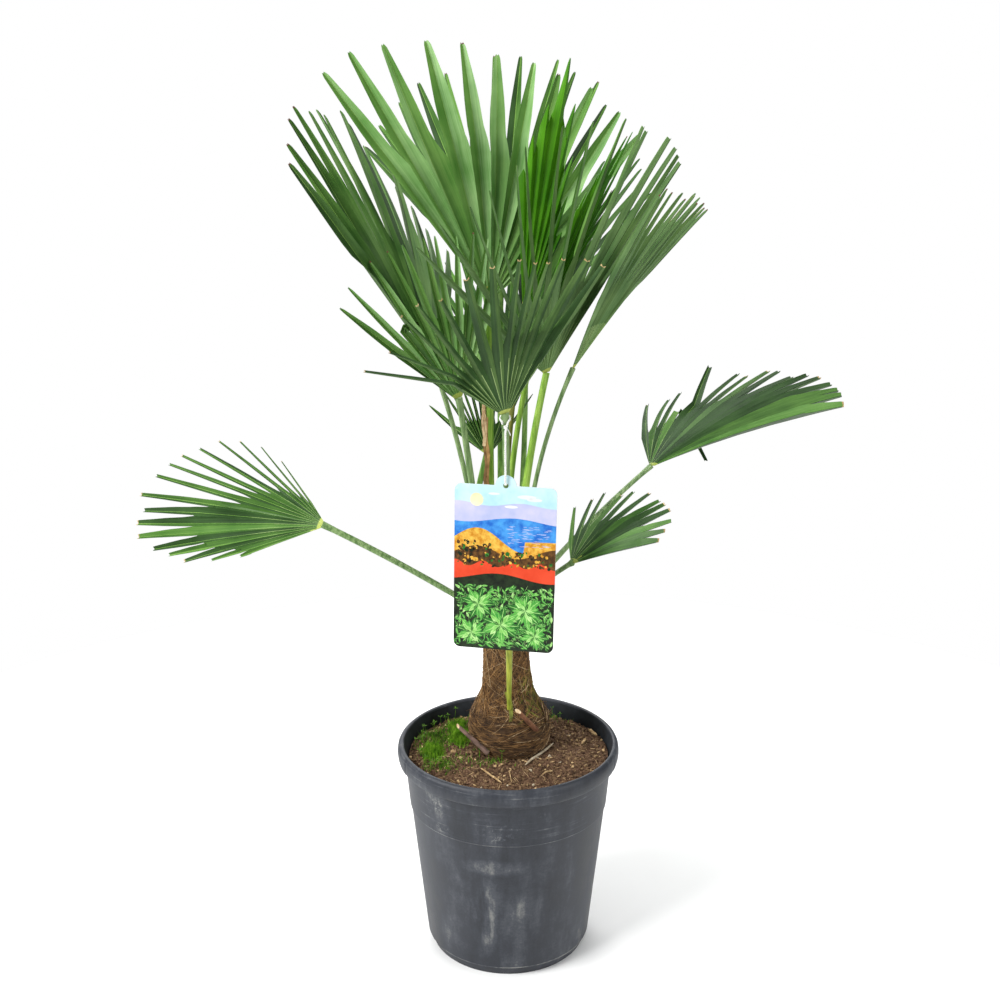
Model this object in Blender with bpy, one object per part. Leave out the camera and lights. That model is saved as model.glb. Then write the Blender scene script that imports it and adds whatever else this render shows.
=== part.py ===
"""Windmill palm about one metre tall, growing in a round plastic nursery pot.

Metres, +Z up. The origin is the centre of the pot's flat underside, and the plant's
front faces -Y. Bearings are turned about +Z from +X, so -90 degrees is the front,
0 the right, 90 the back and 180 the left.
"""

import math
import random
from collections import namedtuple

import bmesh
import bpy
from mathutils import Matrix, Vector

# Gap kept between neighbouring pieces
GAP = 0.0003

# Nursery pot
POT_HEIGHT = 0.250
RIM_RADIUS = 0.125
LIP_HEIGHT = 0.020
LIP_BULGE = 0.0015
LIP_WIDTH = 0.0060
LIP_ROUND = 0.002
LIP_SHOULDER = 0.004
LIP_WIDEST = 0.010
WALL = 0.0030
UPPER_RADIUS = 0.1180
STEP_HEIGHT = 0.176
STEP_RADIUS = 0.1118
STEP_LEDGE = 0.0014
LOWER_HEIGHT = 0.012
LOWER_RADIUS = 0.0943
FOOT_RADIUS = 0.0885
FLOOR_THICKNESS = 0.004
POT_SEGMENTS = 48
DRAIN_HOLES = 8
DRAIN_RADIUS = 0.006
DRAIN_CIRCLE = 0.062

# Potting soil, low at the wall and mounded round the trunk
SOIL_EDGE_HEIGHT = 0.226
SOIL_SEAT_HEIGHT = 0.238
SOIL_SEAT_RADIUS = 0.052
SOIL_RELIEF = 0.0015

# Trunk: a flared basket of fibre at the foot, then a slim neck
TRUNK_FOOT = Vector((0.002, 0.012, SOIL_SEAT_HEIGHT + GAP))
TRUNK_TOP = Vector((-0.006, 0.006, 0.445))
TRUNK_SEGMENTS = 20
# Radius at each share of the height from the foot to the top
TRUNK_PROFILE = ((0.0, 0.041), (0.04, 0.045), (0.12, 0.0465), (0.2, 0.0435), (0.27, 0.036),
                 (0.34, 0.029), (0.45, 0.0262), (0.6, 0.0245), (0.75, 0.0195), (0.88, 0.0160),
                 (1.0, 0.0125))

# Leaf stalks
PETIOLE_SIDES = 8
PETIOLE_RINGS = 9
PETIOLE_FLATNESS = 0.72
PETIOLE_BASE_SWELL = 1.35
SEATING_STEPS = 6
STALK_RADIUS_USUAL = 0.0038
STALK_RADIUS = {"right_fan": 0.0046, "tall": 0.0048, "front": 0.0042, "left_low": 0.0040,
                "right_small": 0.0036, "tall_back": 0.0036}

# Fans: the hub is the short straight edge where all the leaflets meet the stalk
HUB_REACH = 0.006
HUB_HALF_WIDTH = 0.0042
HUB_THICKNESS = 0.0036
LEAF_THICKNESS_SHARE = 0.0105
THINNEST_LEAF = 0.0018
LEAFLET_FULLNESS = 0.97
PLEAT_SLOPE = 0.62
LEAFLET_TIP_WIDTH = 0.5
LEAFLET_MIDDLE = 0.55
ANGLE_JITTER = 0.10
LENGTH_JITTER = 0.025
SWAY = 3.0

# Hanging card and its string
CARD_WIDTH = 0.106
CARD_HEIGHT = 0.177
CARD_THICKNESS = 0.0012
CARD_CORNER = 0.007
CARD_EAR_RADIUS = 0.011
CARD_HOLE_RADIUS = 0.0028
CARD_HOLE_SIDES = 12
CARD_HOLE = Vector((-0.0022, -0.0900, 0.5784))
CARD_TURN = -10
CARD_LEAN = -2.6
CARD_TILT = -0.6
STRING_RADIUS = 0.0009
STRING_SIDES = 6
STRING_SEAT = 0.965
STRING_TURNS = 10
STRING_BEHIND = 0.004
STRING_AHEAD = 0.0035
STRING_KNOT_DROP = 0.010
STRING_LOOP_SLANT = 0.003

# One row for each frond. Angles are in degrees and lengths in metres.
# bearing, reach, height: where the stalk ends, from the pot's axis
# foot_bearing, foot_height, leave: where the stalk leaves the trunk, and how steeply
# heading, rise, roll: how the fan is turned
# count, spread: leaflets in the fan, and the angle between the first and the last
# long, short: length of the middle leaflets and of the outermost ones
# cup, arch: how far the sides lift, and how far the tips sag as a share of their length
# deep, shallow: share of a leaflet that is joined to its neighbour, at the first side
# and at the last side of the fan
Frond = namedtuple("Frond", "name bearing reach height foot_bearing foot_height leave "
                            "heading rise roll count spread long short cup arch deep shallow")

FRONDS = (
    Frond("left_low", 180, 0.198, 0.507, 190, 0.402, 36, 161, 5, -45, 17, 78, 0.230, 0.092,
          22, 0.07, 0.40, 0.86),
    Frond("right_low", 15, 0.161, 0.560, 26, 0.412, 46, 38, 28, -12, 16, 102, 0.205, 0.215,
          3, 0.10, 0.84, 0.34),
    Frond("right_small", -42, 0.086, 0.4805, -33, 0.420, 42, 30, 32, -4, 12, 104, 0.118, 0.104,
          5, 0.06, 0.80, 0.34),
    Frond("front", -92, 0.085, 0.648, -88, 0.300, 80, -97, 63, 31, 13, 76, 0.180, 0.180,
          0, 0.05, 0.42, 0.70),
    Frond("front_left", -141, 0.064, 0.653, 222, 0.380, 85, 190, 75, -70, 12, 70, 0.168, 0.160,
          3, 0.05, 0.50, 0.50),
    Frond("right_fan", 0, 0.040, 0.672, -68, 0.390, 86, -77, 69, 30, 15, 84, 0.276, 0.259,
          6, 0.05, 0.48, 0.62),
    Frond("right_tall", 4, 0.066, 0.676, -5, 0.388, 95, -3, 60, -16, 14, 60, 0.214, 0.235,
          5, 0.05, 0.55, 0.55),
    Frond("left_tall", 195, 0.0786, 0.684, 160, 0.400, 86, 126, 58, 38, 15, 96, 0.300, 0.280,
          0, 0.05, 0.45, 0.45),
    Frond("tall", 142, 0.024, 0.748, 130, 0.430, 88, 96, 73, 24, 11, 85, 0.270, 0.284,
          6, 0.05, 0.56, 0.56),
    Frond("tall_back", 94, 0.108, 0.749, 96, 0.425, 84, 108, 55, -25, 12, 72, 0.300, 0.245,
          6, 0.05, 0.50, 0.50),
    Frond("young_centre", 17, 0.018, 0.740, 90, 0.446, 90, 12, 78, -78, 8, 26, 0.256, 0.150,
          0, 0.0, 0.90, 0.90),
    Frond("young_right", 15, 0.034, 0.730, -60, 0.446, 90, 10, 64, -45, 8, 20, 0.224, 0.165,
          0, 0.0, 0.84, 0.74),
    Frond("back_small", 124.9, 0.0384, 0.575, 140, 0.372, 66, 180, 84, -90, 12, 84, 0.088, 0.080,
          3, 0.05, 0.36, 0.50),
    Frond("back_right", 80, 0.100, 0.700, 60, 0.400, 80, 42, 56, -10, 13, 74, 0.230, 0.190,
          5, 0.05, 0.50, 0.50),
    Frond("back", 92, 0.135, 0.625, 84, 0.380, 68, 90, 38, 0, 14, 70, 0.230, 0.190,
          5, 0.06, 0.48, 0.48),
)

# Fans whose leaflets are unevenly spaced: their angles from the fan's middle
UNEVEN = {
    "tall": (-46, -38, -30, -22, -14, -6, 3, 13, 24, 32, 39),
    "right_fan": (-42, -36, -31, -25, -20, -13, -5, 2, 10, 17, 22, 27, 32, 37, 42),
    "tall_back": (-41, -35, -28, -22, -15, -9, -2, 4, 10, 17, 23, 30),
    "front": (-39, -35, -31, -25, -19, -10, -1, 6, 11, 16, 21, 29, 37),
    "back_small": (-42, -33, -25, -12, -5, 2, 8, 13, 18, 23, 28, 42),
}

# Leaflets that are shorter than the rule gives: the share of the length that is left
TRIM = {
    "young_centre": {0: 0.95, 1: 0.84, 2: 0.88, 4: 0.84, 5: 0.68, 6: 0.60, 7: 0.55},
    "young_right": {0: 0.84, 1: 0.84, 2: 0.86, 3: 0.90, 4: 0.93, 5: 0.84, 6: 0.78, 7: 0.70},
    "left_tall": {8: 0.97, 9: 0.96, 10: 0.95, 12: 0.98, 13: 0.94, 14: 0.93},
    "right_fan": {9: 0.97, 11: 0.97, 12: 0.97, 13: 0.97},
}

# Leaflets that are bent over: frond name, leaflet, share of the free length where it bends,
# the turn there in degrees, and how much of the free length is left
BENT = (
    ("front", 0, 0.10, -20, 1.0),
    ("front", 1, 0.15, -13, 0.85),
)

# Old stalks cut short, near the trunk's foot: the bearing and height where each leaves the
# trunk, where it ends, and its radius at both ends
STUBS = (
    ("stub_right", -50, 0.2745, Vector((0.0108, -0.045, 0.306)), 0.0036, 0.0030),
    ("stub_left", 240, 0.2475, Vector((-0.0566, -0.020, 0.276)), 0.0038, 0.0025),
)


def clear_scene():
    for obj in list(bpy.data.objects):
        bpy.data.objects.remove(obj, do_unlink=True)


def make_material(name, colour, roughness, metallic=0.0):
    material = bpy.data.materials.new(name)
    material.use_nodes = True
    shader = material.node_tree.nodes["Principled BSDF"]
    shader.inputs["Base Color"].default_value = (*colour, 1.0)
    shader.inputs["Roughness"].default_value = roughness
    shader.inputs["Metallic"].default_value = metallic
    material.diffuse_color = (*colour, 1.0)
    return material


def make_object(name, bm, material, smooth_angle=None):
    bmesh.ops.recalc_face_normals(bm, faces=bm.faces)
    mesh = bpy.data.meshes.new(name)
    bm.to_mesh(mesh)
    bm.free()
    mesh.materials.append(material)
    if smooth_angle is not None:
        mesh.shade_smooth()
        mesh.set_sharp_from_angle(angle=math.radians(smooth_angle))
    obj = bpy.data.objects.new(name, mesh)
    bpy.context.collection.objects.link(obj)
    return obj


def turned(bm, profile, segments):
    """Turn a profile of (radius, height) about the vertical axis; ends on the axis close it."""
    rings = []
    for radius, height in profile:
        if radius == 0.0:
            rings.append([bm.verts.new((0.0, 0.0, height))])
            continue
        rings.append([bm.verts.new((radius * math.cos(2 * math.pi * k / segments),
                                    radius * math.sin(2 * math.pi * k / segments),
                                    height)) for k in range(segments)])
    bridge_rings(bm, rings)
    return rings


def bridge_rings(bm, rings):
    """Join each ring of vertices to the next; a ring of one vertex closes with triangles."""
    for low, high in zip(rings, rings[1:]):
        count = max(len(low), len(high))
        for k in range(count):
            following = (k + 1) % count
            corners = [low[k % len(low)], low[following % len(low)],
                       high[following % len(high)], high[k % len(high)]]
            bm.faces.new(list(dict.fromkeys(corners)))


def pot_inner_radius(height):
    """Inner radius of the pot's wall at a height above the floor of the pot."""
    if height < LOWER_HEIGHT:
        return FOOT_RADIUS + (LOWER_RADIUS - FOOT_RADIUS) * height / LOWER_HEIGHT - WALL
    if height >= STEP_HEIGHT:
        share = (height - STEP_HEIGHT) / (POT_HEIGHT - LIP_HEIGHT - STEP_HEIGHT)
        return STEP_RADIUS + (UPPER_RADIUS - STEP_RADIUS) * share - WALL
    share = (height - LOWER_HEIGHT) / (STEP_HEIGHT - LOWER_HEIGHT)
    return LOWER_RADIUS + (STEP_RADIUS - LOWER_RADIUS) * share - WALL


def make_pot(material):
    lip_foot = POT_HEIGHT - LIP_HEIGHT
    step_above = STEP_HEIGHT + STEP_LEDGE
    profile = (
        (0.0, FLOOR_THICKNESS),
        (pot_inner_radius(FLOOR_THICKNESS), FLOOR_THICKNESS),
        (pot_inner_radius(LOWER_HEIGHT), LOWER_HEIGHT),
        (pot_inner_radius(STEP_HEIGHT), STEP_HEIGHT),
        (pot_inner_radius(lip_foot), lip_foot),
        (RIM_RADIUS - LIP_WIDTH, POT_HEIGHT - LIP_ROUND),
        (RIM_RADIUS - LIP_WIDTH * 0.7, POT_HEIGHT),
        (RIM_RADIUS - LIP_WIDTH * 0.2, POT_HEIGHT),
        (RIM_RADIUS + LIP_BULGE * 0.6, POT_HEIGHT - LIP_SHOULDER),
        (RIM_RADIUS + LIP_BULGE, POT_HEIGHT - LIP_WIDEST),
        (RIM_RADIUS, lip_foot),
        (UPPER_RADIUS, lip_foot),
        (STEP_RADIUS + STEP_LEDGE, step_above),
        (STEP_RADIUS, STEP_HEIGHT),
        (LOWER_RADIUS, LOWER_HEIGHT),
        (FOOT_RADIUS, 0.0),
        (0.0, 0.0),
    )
    bm = bmesh.new()
    turned(bm, profile, POT_SEGMENTS)
    pot = make_object("pot", bm, material, smooth_angle=35)
    cutter_mesh = bmesh.new()
    for k in range(DRAIN_HOLES):
        angle = 2 * math.pi * (k + 0.5) / DRAIN_HOLES
        place = Matrix.Translation((DRAIN_CIRCLE * math.cos(angle), DRAIN_CIRCLE * math.sin(angle),
                                    FLOOR_THICKNESS / 2))
        bmesh.ops.create_cone(cutter_mesh, cap_ends=True, segments=12, radius1=DRAIN_RADIUS,
                              radius2=DRAIN_RADIUS, depth=FLOOR_THICKNESS * 3, matrix=place)
    cutter = make_object("drain_cutter", cutter_mesh, material)
    cutter.hide_render = True
    cutter.display_type = "WIRE"
    cut = pot.modifiers.new("drain_holes", "BOOLEAN")
    cut.operation = "DIFFERENCE"
    cut.solver = "EXACT"
    cut.object = cutter
    return pot


def make_soil(material):
    rng = random.Random(3)
    clear = GAP * 1.1
    bottom = FLOOR_THICKNESS + GAP
    edge = SOIL_EDGE_HEIGHT
    profile = [(0.0, bottom), (pot_inner_radius(bottom) - clear, bottom),
               (pot_inner_radius(LOWER_HEIGHT) - clear, LOWER_HEIGHT),
               (pot_inner_radius(STEP_HEIGHT) - clear, STEP_HEIGHT),
               (pot_inner_radius(edge) - clear, edge)]
    edge_radius = pot_inner_radius(edge) - clear
    for share in (0.82, 0.62, 0.42, 0.2):
        radius = SOIL_SEAT_RADIUS + (edge_radius - SOIL_SEAT_RADIUS) * share
        height = edge + (SOIL_SEAT_HEIGHT - edge) * (1.0 - share) ** 0.8
        profile.append((radius, height))
    profile += [(SOIL_SEAT_RADIUS, SOIL_SEAT_HEIGHT), (0.0, SOIL_SEAT_HEIGHT)]
    bm = bmesh.new()
    rings = turned(bm, profile, POT_SEGMENTS)
    # The seat follows the trunk's foot, which stands a little behind the pot's axis
    for ring in rings[-2:]:
        for vert in ring:
            vert.co.x += TRUNK_FOOT.x
            vert.co.y += TRUNK_FOOT.y
    for ring in rings[5:-2]:
        for vert in ring:
            vert.co.z += rng.uniform(-SOIL_RELIEF, SOIL_RELIEF)
    return make_object("soil", bm, material)


def trunk_axis(height):
    share = (height - TRUNK_FOOT.z) / (TRUNK_TOP.z - TRUNK_FOOT.z)
    return TRUNK_FOOT.lerp(TRUNK_TOP, max(0.0, min(1.0, share)))


def trunk_radius(height):
    share = max(0.0, min(1.0, (height - TRUNK_FOOT.z) / (TRUNK_TOP.z - TRUNK_FOOT.z)))
    for (low, low_radius), (high, high_radius) in zip(TRUNK_PROFILE, TRUNK_PROFILE[1:]):
        if share <= high:
            return low_radius + (high_radius - low_radius) * (share - low) / (high - low)
    return TRUNK_PROFILE[-1][1]


def trunk_clearance(point):
    """How far a point lies outside the trunk's faceted side, measured level."""
    offset = point - trunk_axis(point.z)
    half_facet = math.pi / TRUNK_SEGMENTS
    from_corner = math.atan2(offset.y, offset.x) % (2 * half_facet)
    facet = trunk_radius(point.z) * math.cos(half_facet) / math.cos(from_corner - half_facet)
    return math.hypot(offset.x, offset.y) - facet


def seated(start, outward, across, along, width, depth):
    """Slide a stalk's foot level along outward until it is one gap clear of the trunk."""
    up = along.cross(across)
    for _ in range(SEATING_STEPS):
        nearest = min(trunk_clearance(start
                                      + across * (width * math.cos(2 * math.pi * k / PETIOLE_SIDES))
                                      + up * (depth * math.sin(2 * math.pi * k / PETIOLE_SIDES)))
                      for k in range(PETIOLE_SIDES))
        start = start - outward * (nearest - GAP)
    return start


def make_trunk(material):
    bm = bmesh.new()
    rings = []
    for share, radius in TRUNK_PROFILE:
        centre = TRUNK_FOOT.lerp(TRUNK_TOP, share)
        rings.append([bm.verts.new((centre.x + radius * math.cos(2 * math.pi * k / TRUNK_SEGMENTS),
                                    centre.y + radius * math.sin(2 * math.pi * k / TRUNK_SEGMENTS),
                                    centre.z)) for k in range(TRUNK_SEGMENTS)])
    bridge_rings(bm, rings)
    bm.faces.new(rings[0])
    bm.faces.new(rings[-1])
    return make_object("trunk", bm, material, smooth_angle=50)


def direction(bearing, rise):
    bearing, rise = math.radians(bearing), math.radians(rise)
    return Vector((math.cos(rise) * math.cos(bearing), math.cos(rise) * math.sin(bearing),
                   math.sin(rise)))


def fan_axes(frond):
    """The fan's own axes: along its middle, towards its last side, and up out of its face."""
    along = direction(frond.heading, frond.rise)
    level = direction(frond.heading + 90, 0)
    up = along.cross(level)
    roll = math.radians(frond.roll)
    side = level * math.cos(roll) + up * math.sin(roll)
    return along, side, along.cross(side)


def hastula(frond):
    """The point where the stalk meets the fan."""
    level = direction(frond.bearing, 0) * frond.reach
    return Vector((level.x, level.y, frond.height))


def tube(bm, centres, frames, widths, depths, sides):
    """Sweep a flat oval along centres; each frame is its (width axis, depth axis)."""
    rings = []
    for centre, (across, up), width, depth in zip(centres, frames, widths, depths):
        rings.append([bm.verts.new(centre + across * (width * math.cos(2 * math.pi * k / sides))
                                   + up * (depth * math.sin(2 * math.pi * k / sides)))
                      for k in range(sides)])
    bridge_rings(bm, rings)
    bm.faces.new(rings[0])
    bm.faces.new(rings[-1])


def curve_point(start, middle, end, t):
    return start * (1 - t) ** 2 + middle * (2 * t * (1 - t)) + end * t ** 2


def stalk_radius(frond):
    return STALK_RADIUS.get(frond.name, STALK_RADIUS_USUAL)


def stalk_route(frond):
    """Start, control and end point of a stalk, clear of the trunk and of the fan's hub."""
    width = stalk_radius(frond) * PETIOLE_BASE_SWELL
    outward = direction(frond.foot_bearing, 0)
    leave = direction(frond.foot_bearing, frond.leave)
    along = fan_axes(frond)[0]
    if frond.foot_height > TRUNK_TOP.z:
        start = TRUNK_TOP + outward * (stalk_radius(frond) * 1.6) + Vector((0, 0, GAP))
    else:
        start = trunk_axis(frond.foot_height) + outward * trunk_radius(frond.foot_height)
        start = seated(start, outward, outward.cross(Vector((0, 0, 1))), leave, width,
                       width * PETIOLE_FLATNESS)
    end = hastula(frond) + along * (HUB_REACH - GAP)
    middle = start + leave * ((end - start).length * 0.5)
    return start, middle, end


def make_stalk(frond, material):
    radius = stalk_radius(frond)
    start, middle, end = stalk_route(frond)
    along, side, _ = fan_axes(frond)
    outward = direction(frond.foot_bearing, 0)
    across_foot = outward.cross(Vector((0, 0, 1))).normalized() * -1.0
    if across_foot.dot(side) < 0:
        across_foot = -across_foot
    centres, frames, widths, depths = [], [], [], []
    for k in range(PETIOLE_RINGS):
        t = k / (PETIOLE_RINGS - 1)
        centre = curve_point(start, middle, end, t)
        tangent = ((middle - start) * (1 - t) + (end - middle) * t).normalized()
        if k == PETIOLE_RINGS - 1:
            tangent = along
        across = across_foot.lerp(side, t)
        across = (across - tangent * across.dot(tangent)).normalized()
        swell = 1.0 + (PETIOLE_BASE_SWELL - 1.0) * (1 - t) ** 4
        width = radius * swell * (1.0 - 0.12 * t)
        if k == PETIOLE_RINGS - 1:
            width = HUB_HALF_WIDTH
        centres.append(centre)
        frames.append((across, tangent.cross(across)))
        widths.append(width)
        depths.append(width * PETIOLE_FLATNESS)
    bm = bmesh.new()
    tube(bm, centres, frames, widths, depths, PETIOLE_SIDES)
    return make_object("petiole_" + frond.name, bm, material, smooth_angle=40)


def leaflet_plan(frond):
    """Leaflets as (angle, length, sway), the angles of the folds between them, and joins:
    how far from the hub each fold stays joined."""
    rng = random.Random(sum(ord(letter) for letter in frond.name))
    trim = TRIM.get(frond.name, {})
    step = frond.spread / (frond.count - 1)
    even = [k * step - frond.spread / 2 for k in range(frond.count)]
    leaflets = []
    for k, middle in enumerate(UNEVEN.get(frond.name, even)):
        place = 2 * k / (frond.count - 1) - 1
        angle = math.radians(middle + rng.uniform(-1, 1) * ANGLE_JITTER * step)
        length = frond.long + (frond.short - frond.long) * place * place
        length *= (1 + rng.uniform(-1, 1) * LENGTH_JITTER) * trim.get(k, 1.0)
        sway = math.radians(rng.uniform(-1, 1) * SWAY)
        leaflets.append((angle, length, sway))
    angles = [leaflet[0] for leaflet in leaflets]
    half_step = math.radians(step) / 2
    folds = [angles[0] - half_step]
    folds += [(near + far) / 2 for near, far in zip(angles, angles[1:])]
    folds.append(angles[-1] + half_step)
    joins = []
    for k in range(frond.count + 1):
        share = frond.deep + (frond.shallow - frond.deep) * k / frond.count
        shorter = min(leaflets[max(0, k - 1)][1], leaflets[min(frond.count - 1, k)][1])
        joins.append(share * shorter * (1 + rng.uniform(-1, 1) * LENGTH_JITTER))
    return leaflets, folds, joins


def make_blade(frond, material):
    """A pleated fan: leaflets folded down the middle, joined near the hub and free beyond."""
    hub = hastula(frond)
    along, side, up = fan_axes(frond)
    leaflets, folds, joins = leaflet_plan(frond)
    widest = max(abs(folds[0]), abs(folds[-1]))
    cup = math.tan(math.radians(frond.cup))
    thickness = max(THINNEST_LEAF, LEAF_THICKNESS_SHARE * max(frond.long, frond.short))
    bends = {leaflet: (share, turn, left) for name, leaflet, share, turn, left in BENT
             if name == frond.name}

    def ray(angle):
        return (along * math.cos(angle) + side * math.sin(angle)
                + up * (math.sin(angle) ** 2 * cup)).normalized()

    def base(angle):
        return hub + along * HUB_REACH + side * (HUB_HALF_WIDTH * angle / widest)

    def fan_point(angle, reach):
        sag = frond.arch * reach * reach / frond.long
        return base(angle) + ray(angle) * reach - up * sag

    bm = bmesh.new()

    def pair(point, depth):
        """The vertices of the upper and the under face at a point midway between them."""
        half = up * (depth / 2)
        return bm.verts.new(point + half), bm.verts.new(point - half)

    ridges = []
    for fold, join in zip(folds, joins):
        lift = up * (join * math.radians(frond.spread / (frond.count - 1)) / 2 * PLEAT_SLOPE)
        ridges.append((pair(base(fold), HUB_THICKNESS),
                       pair(fan_point(fold, join) + lift, thickness)))

    for k, (angle, length, sway) in enumerate(leaflets):
        forward = ray(angle)
        across = up.cross(forward).normalized()
        join = (joins[k] + joins[k + 1]) / 2
        half_width = LEAFLET_FULLNESS * min(joins[k] * (angle - folds[k]),
                                            joins[k + 1] * (folds[k + 1] - angle))
        root = pair(base(angle), HUB_THICKNESS)
        fork = pair(fan_point(angle, join), thickness)
        stations = [(ridges[k][1], fork, ridges[k + 1][1])]
        bend_share, turn, left_over = bends.get(k, (LEAFLET_MIDDLE, 0, 1.0))
        length = join + (length - join) * left_over
        elbow = join + (length - join) * bend_share
        onward = Matrix.Rotation(math.radians(turn), 3, up) @ forward
        for reach, width in ((elbow, half_width), (length, half_width * LEAFLET_TIP_WIDTH)):
            sag = frond.arch * (reach * reach - elbow * elbow) / frond.long
            centre = fan_point(angle, elbow) + onward * (reach - elbow)
            centre += up * (math.tan(sway) * (reach - join) - sag)
            margin = across * width
            lift = up * (width * PLEAT_SLOPE)
            stations.append((pair(centre - margin + lift, thickness), pair(centre, thickness),
                             pair(centre + margin + lift, thickness)))
        # Joined part, with the wall against the hub
        for left, right in ((ridges[k], (root, fork)), ((root, fork), ridges[k + 1])):
            bm.faces.new((left[0][0], left[1][0], right[1][0], right[0][0]))
            bm.faces.new((left[0][1], right[0][1], right[1][1], left[1][1]))
            bm.faces.new((left[0][0], right[0][0], right[0][1], left[0][1]))
        # Free part, with a wall along each margin
        for near, far in zip(stations, stations[1:]):
            for a, b in ((0, 1), (1, 2)):
                bm.faces.new((near[a][0], far[a][0], far[b][0], near[b][0]))
                bm.faces.new((near[a][1], near[b][1], far[b][1], far[a][1]))
            bm.faces.new((near[0][0], near[0][1], far[0][1], far[0][0]))
            bm.faces.new((near[2][0], far[2][0], far[2][1], near[2][1]))
        tip = stations[-1]
        bm.faces.new((tip[0][0], tip[0][1], tip[1][1], tip[1][0]))
        bm.faces.new((tip[1][0], tip[1][1], tip[2][1], tip[2][0]))
    for edge in (ridges[0], ridges[-1]):
        bm.faces.new((edge[0][0], edge[0][1], edge[1][1], edge[1][0]))
    return make_object("blade_" + frond.name, bm, material)


def cut_stalk(name, foot_bearing, foot_height, end, base_radius, tip_radius, material):
    """An old stalk cut short: a tapering stub with a flat end."""
    outward = direction(foot_bearing, 0)
    start = trunk_axis(foot_height) + outward * trunk_radius(foot_height)
    along = (end - start).normalized()
    across = along.cross(Vector((0, 0, 1))).normalized()
    start = seated(start, outward, across, along, base_radius, base_radius * PETIOLE_FLATNESS)
    frames = [(across, along.cross(across))] * 3
    centres = [start.lerp(end, share) for share in (0.0, 0.5, 1.0)]
    radii = [base_radius + (tip_radius - base_radius) * share for share in (0.0, 0.5, 1.0)]
    bm = bmesh.new()
    tube(bm, centres, frames, radii, [r * PETIOLE_FLATNESS for r in radii], PETIOLE_SIDES)
    return make_object(name, bm, material, smooth_angle=40)


def card_outline():
    """The card's outline round its hole at (0, 0): rounded corners and an ear at the top."""
    half, corner = CARD_WIDTH / 2, CARD_CORNER
    points = []
    for centre_x, centre_y, first in ((half - corner, -corner, 90),
                                      (half - corner, corner - CARD_HEIGHT, 0),
                                      (corner - half, corner - CARD_HEIGHT, -90),
                                      (corner - half, -corner, -180)):
        for k in range(5):
            angle = math.radians(first - 90 * k / 4)
            points.append((centre_x + corner * math.cos(angle),
                           centre_y + corner * math.sin(angle)))
    for k in range(9):
        angle = math.radians(180 - 180 * k / 8)
        points.append((CARD_EAR_RADIUS * math.cos(angle), CARD_EAR_RADIUS * math.sin(angle)))
    return points


def card_matrix():
    """Stands the card upright facing the front, turned a little and tilted on its string."""
    return (Matrix.Translation(CARD_HOLE)
            @ Matrix.Rotation(math.radians(CARD_TURN), 4, "Z")
            @ Matrix.Rotation(math.radians(90 + CARD_LEAN), 4, "X")
            @ Matrix.Rotation(math.radians(CARD_TILT), 4, "Z"))


def make_card(material):
    bm = bmesh.new()
    face = bm.faces.new([bm.verts.new((x, y, 0.0)) for x, y in card_outline()])
    grown = bmesh.ops.extrude_face_region(bm, geom=[face])["geom"]
    bmesh.ops.translate(bm, vec=(0, 0, CARD_THICKNESS),
                        verts=[item for item in grown if isinstance(item, bmesh.types.BMVert)])
    bm.transform(card_matrix())
    card = make_object("hang_card", bm, material)
    bm = bmesh.new()
    bmesh.ops.create_cone(bm, cap_ends=True, segments=CARD_HOLE_SIDES, radius1=CARD_HOLE_RADIUS,
                          radius2=CARD_HOLE_RADIUS, depth=CARD_THICKNESS * 8,
                          matrix=card_matrix())
    cutter = make_object("card_cutter", bm, material)
    cutter.hide_render = True
    cutter.display_type = "WIRE"
    cut = card.modifiers.new("hole", "BOOLEAN")
    cut.operation = "DIFFERENCE"
    cut.solver = "EXACT"
    cut.object = cutter
    return card


def string_route():
    """From behind the card, through its hole, up to the front stalk and once round it."""
    front = next(frond for frond in FRONDS if frond.name == "front")
    start, middle, end = stalk_route(front)
    centre = curve_point(start, middle, end, STRING_SEAT)
    tangent = ((middle - start) * (1 - STRING_SEAT) + (end - middle) * STRING_SEAT).normalized()
    ahead = Vector((0, -1, 0))
    ahead = (ahead - tangent * ahead.dot(tangent)).normalized()
    across = tangent.cross(ahead)
    radius = HUB_HALF_WIDTH + STRING_RADIUS + GAP * 2
    through = card_matrix().to_3x3() @ Vector((0, 0, 1))
    # The card hangs with the top of its hole on the string
    rise = CARD_HOLE_RADIUS * math.cos(math.pi / CARD_HOLE_SIDES) - STRING_RADIUS - GAP
    seat = CARD_HOLE + Vector((0, 0, rise))
    route = [seat - through * STRING_BEHIND, seat + through * CARD_THICKNESS / 2,
             seat + through * STRING_AHEAD]
    knot = centre + ahead * (radius + STRING_RADIUS) - tangent * STRING_KNOT_DROP
    route.append(Vector((route[-1].x, route[-1].y, knot.z - STRING_BEHIND)))
    for k in range(STRING_TURNS + 1):
        angle = math.radians(-35 - 290 * k / STRING_TURNS)
        route.append(centre + ahead * (radius * math.cos(angle)) - across * (radius * math.sin(angle))
                     - tangent * (STRING_LOOP_SLANT * math.cos(angle)))
    route.append(knot - across * STRING_LOOP_SLANT + tangent * STRING_LOOP_SLANT)
    return route


def make_string(material):
    route = string_route()
    bm = bmesh.new()
    rings = []
    across = None
    for k, point in enumerate(route):
        before, after = route[max(0, k - 1)], route[min(len(route) - 1, k + 1)]
        tangent = (after - before).normalized()
        across = Vector((1, 0, 0)) if across is None else across
        across = (across - tangent * across.dot(tangent)).normalized()
        upward = tangent.cross(across)
        rings.append([bm.verts.new(point + (across * math.cos(2 * math.pi * j / STRING_SIDES)
                                            + upward * math.sin(2 * math.pi * j / STRING_SIDES))
                                   * STRING_RADIUS) for j in range(STRING_SIDES)])
    bridge_rings(bm, rings)
    bm.faces.new(rings[0])
    bm.faces.new(rings[-1])
    return make_object("card_string", bm, material, smooth_angle=60)


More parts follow.
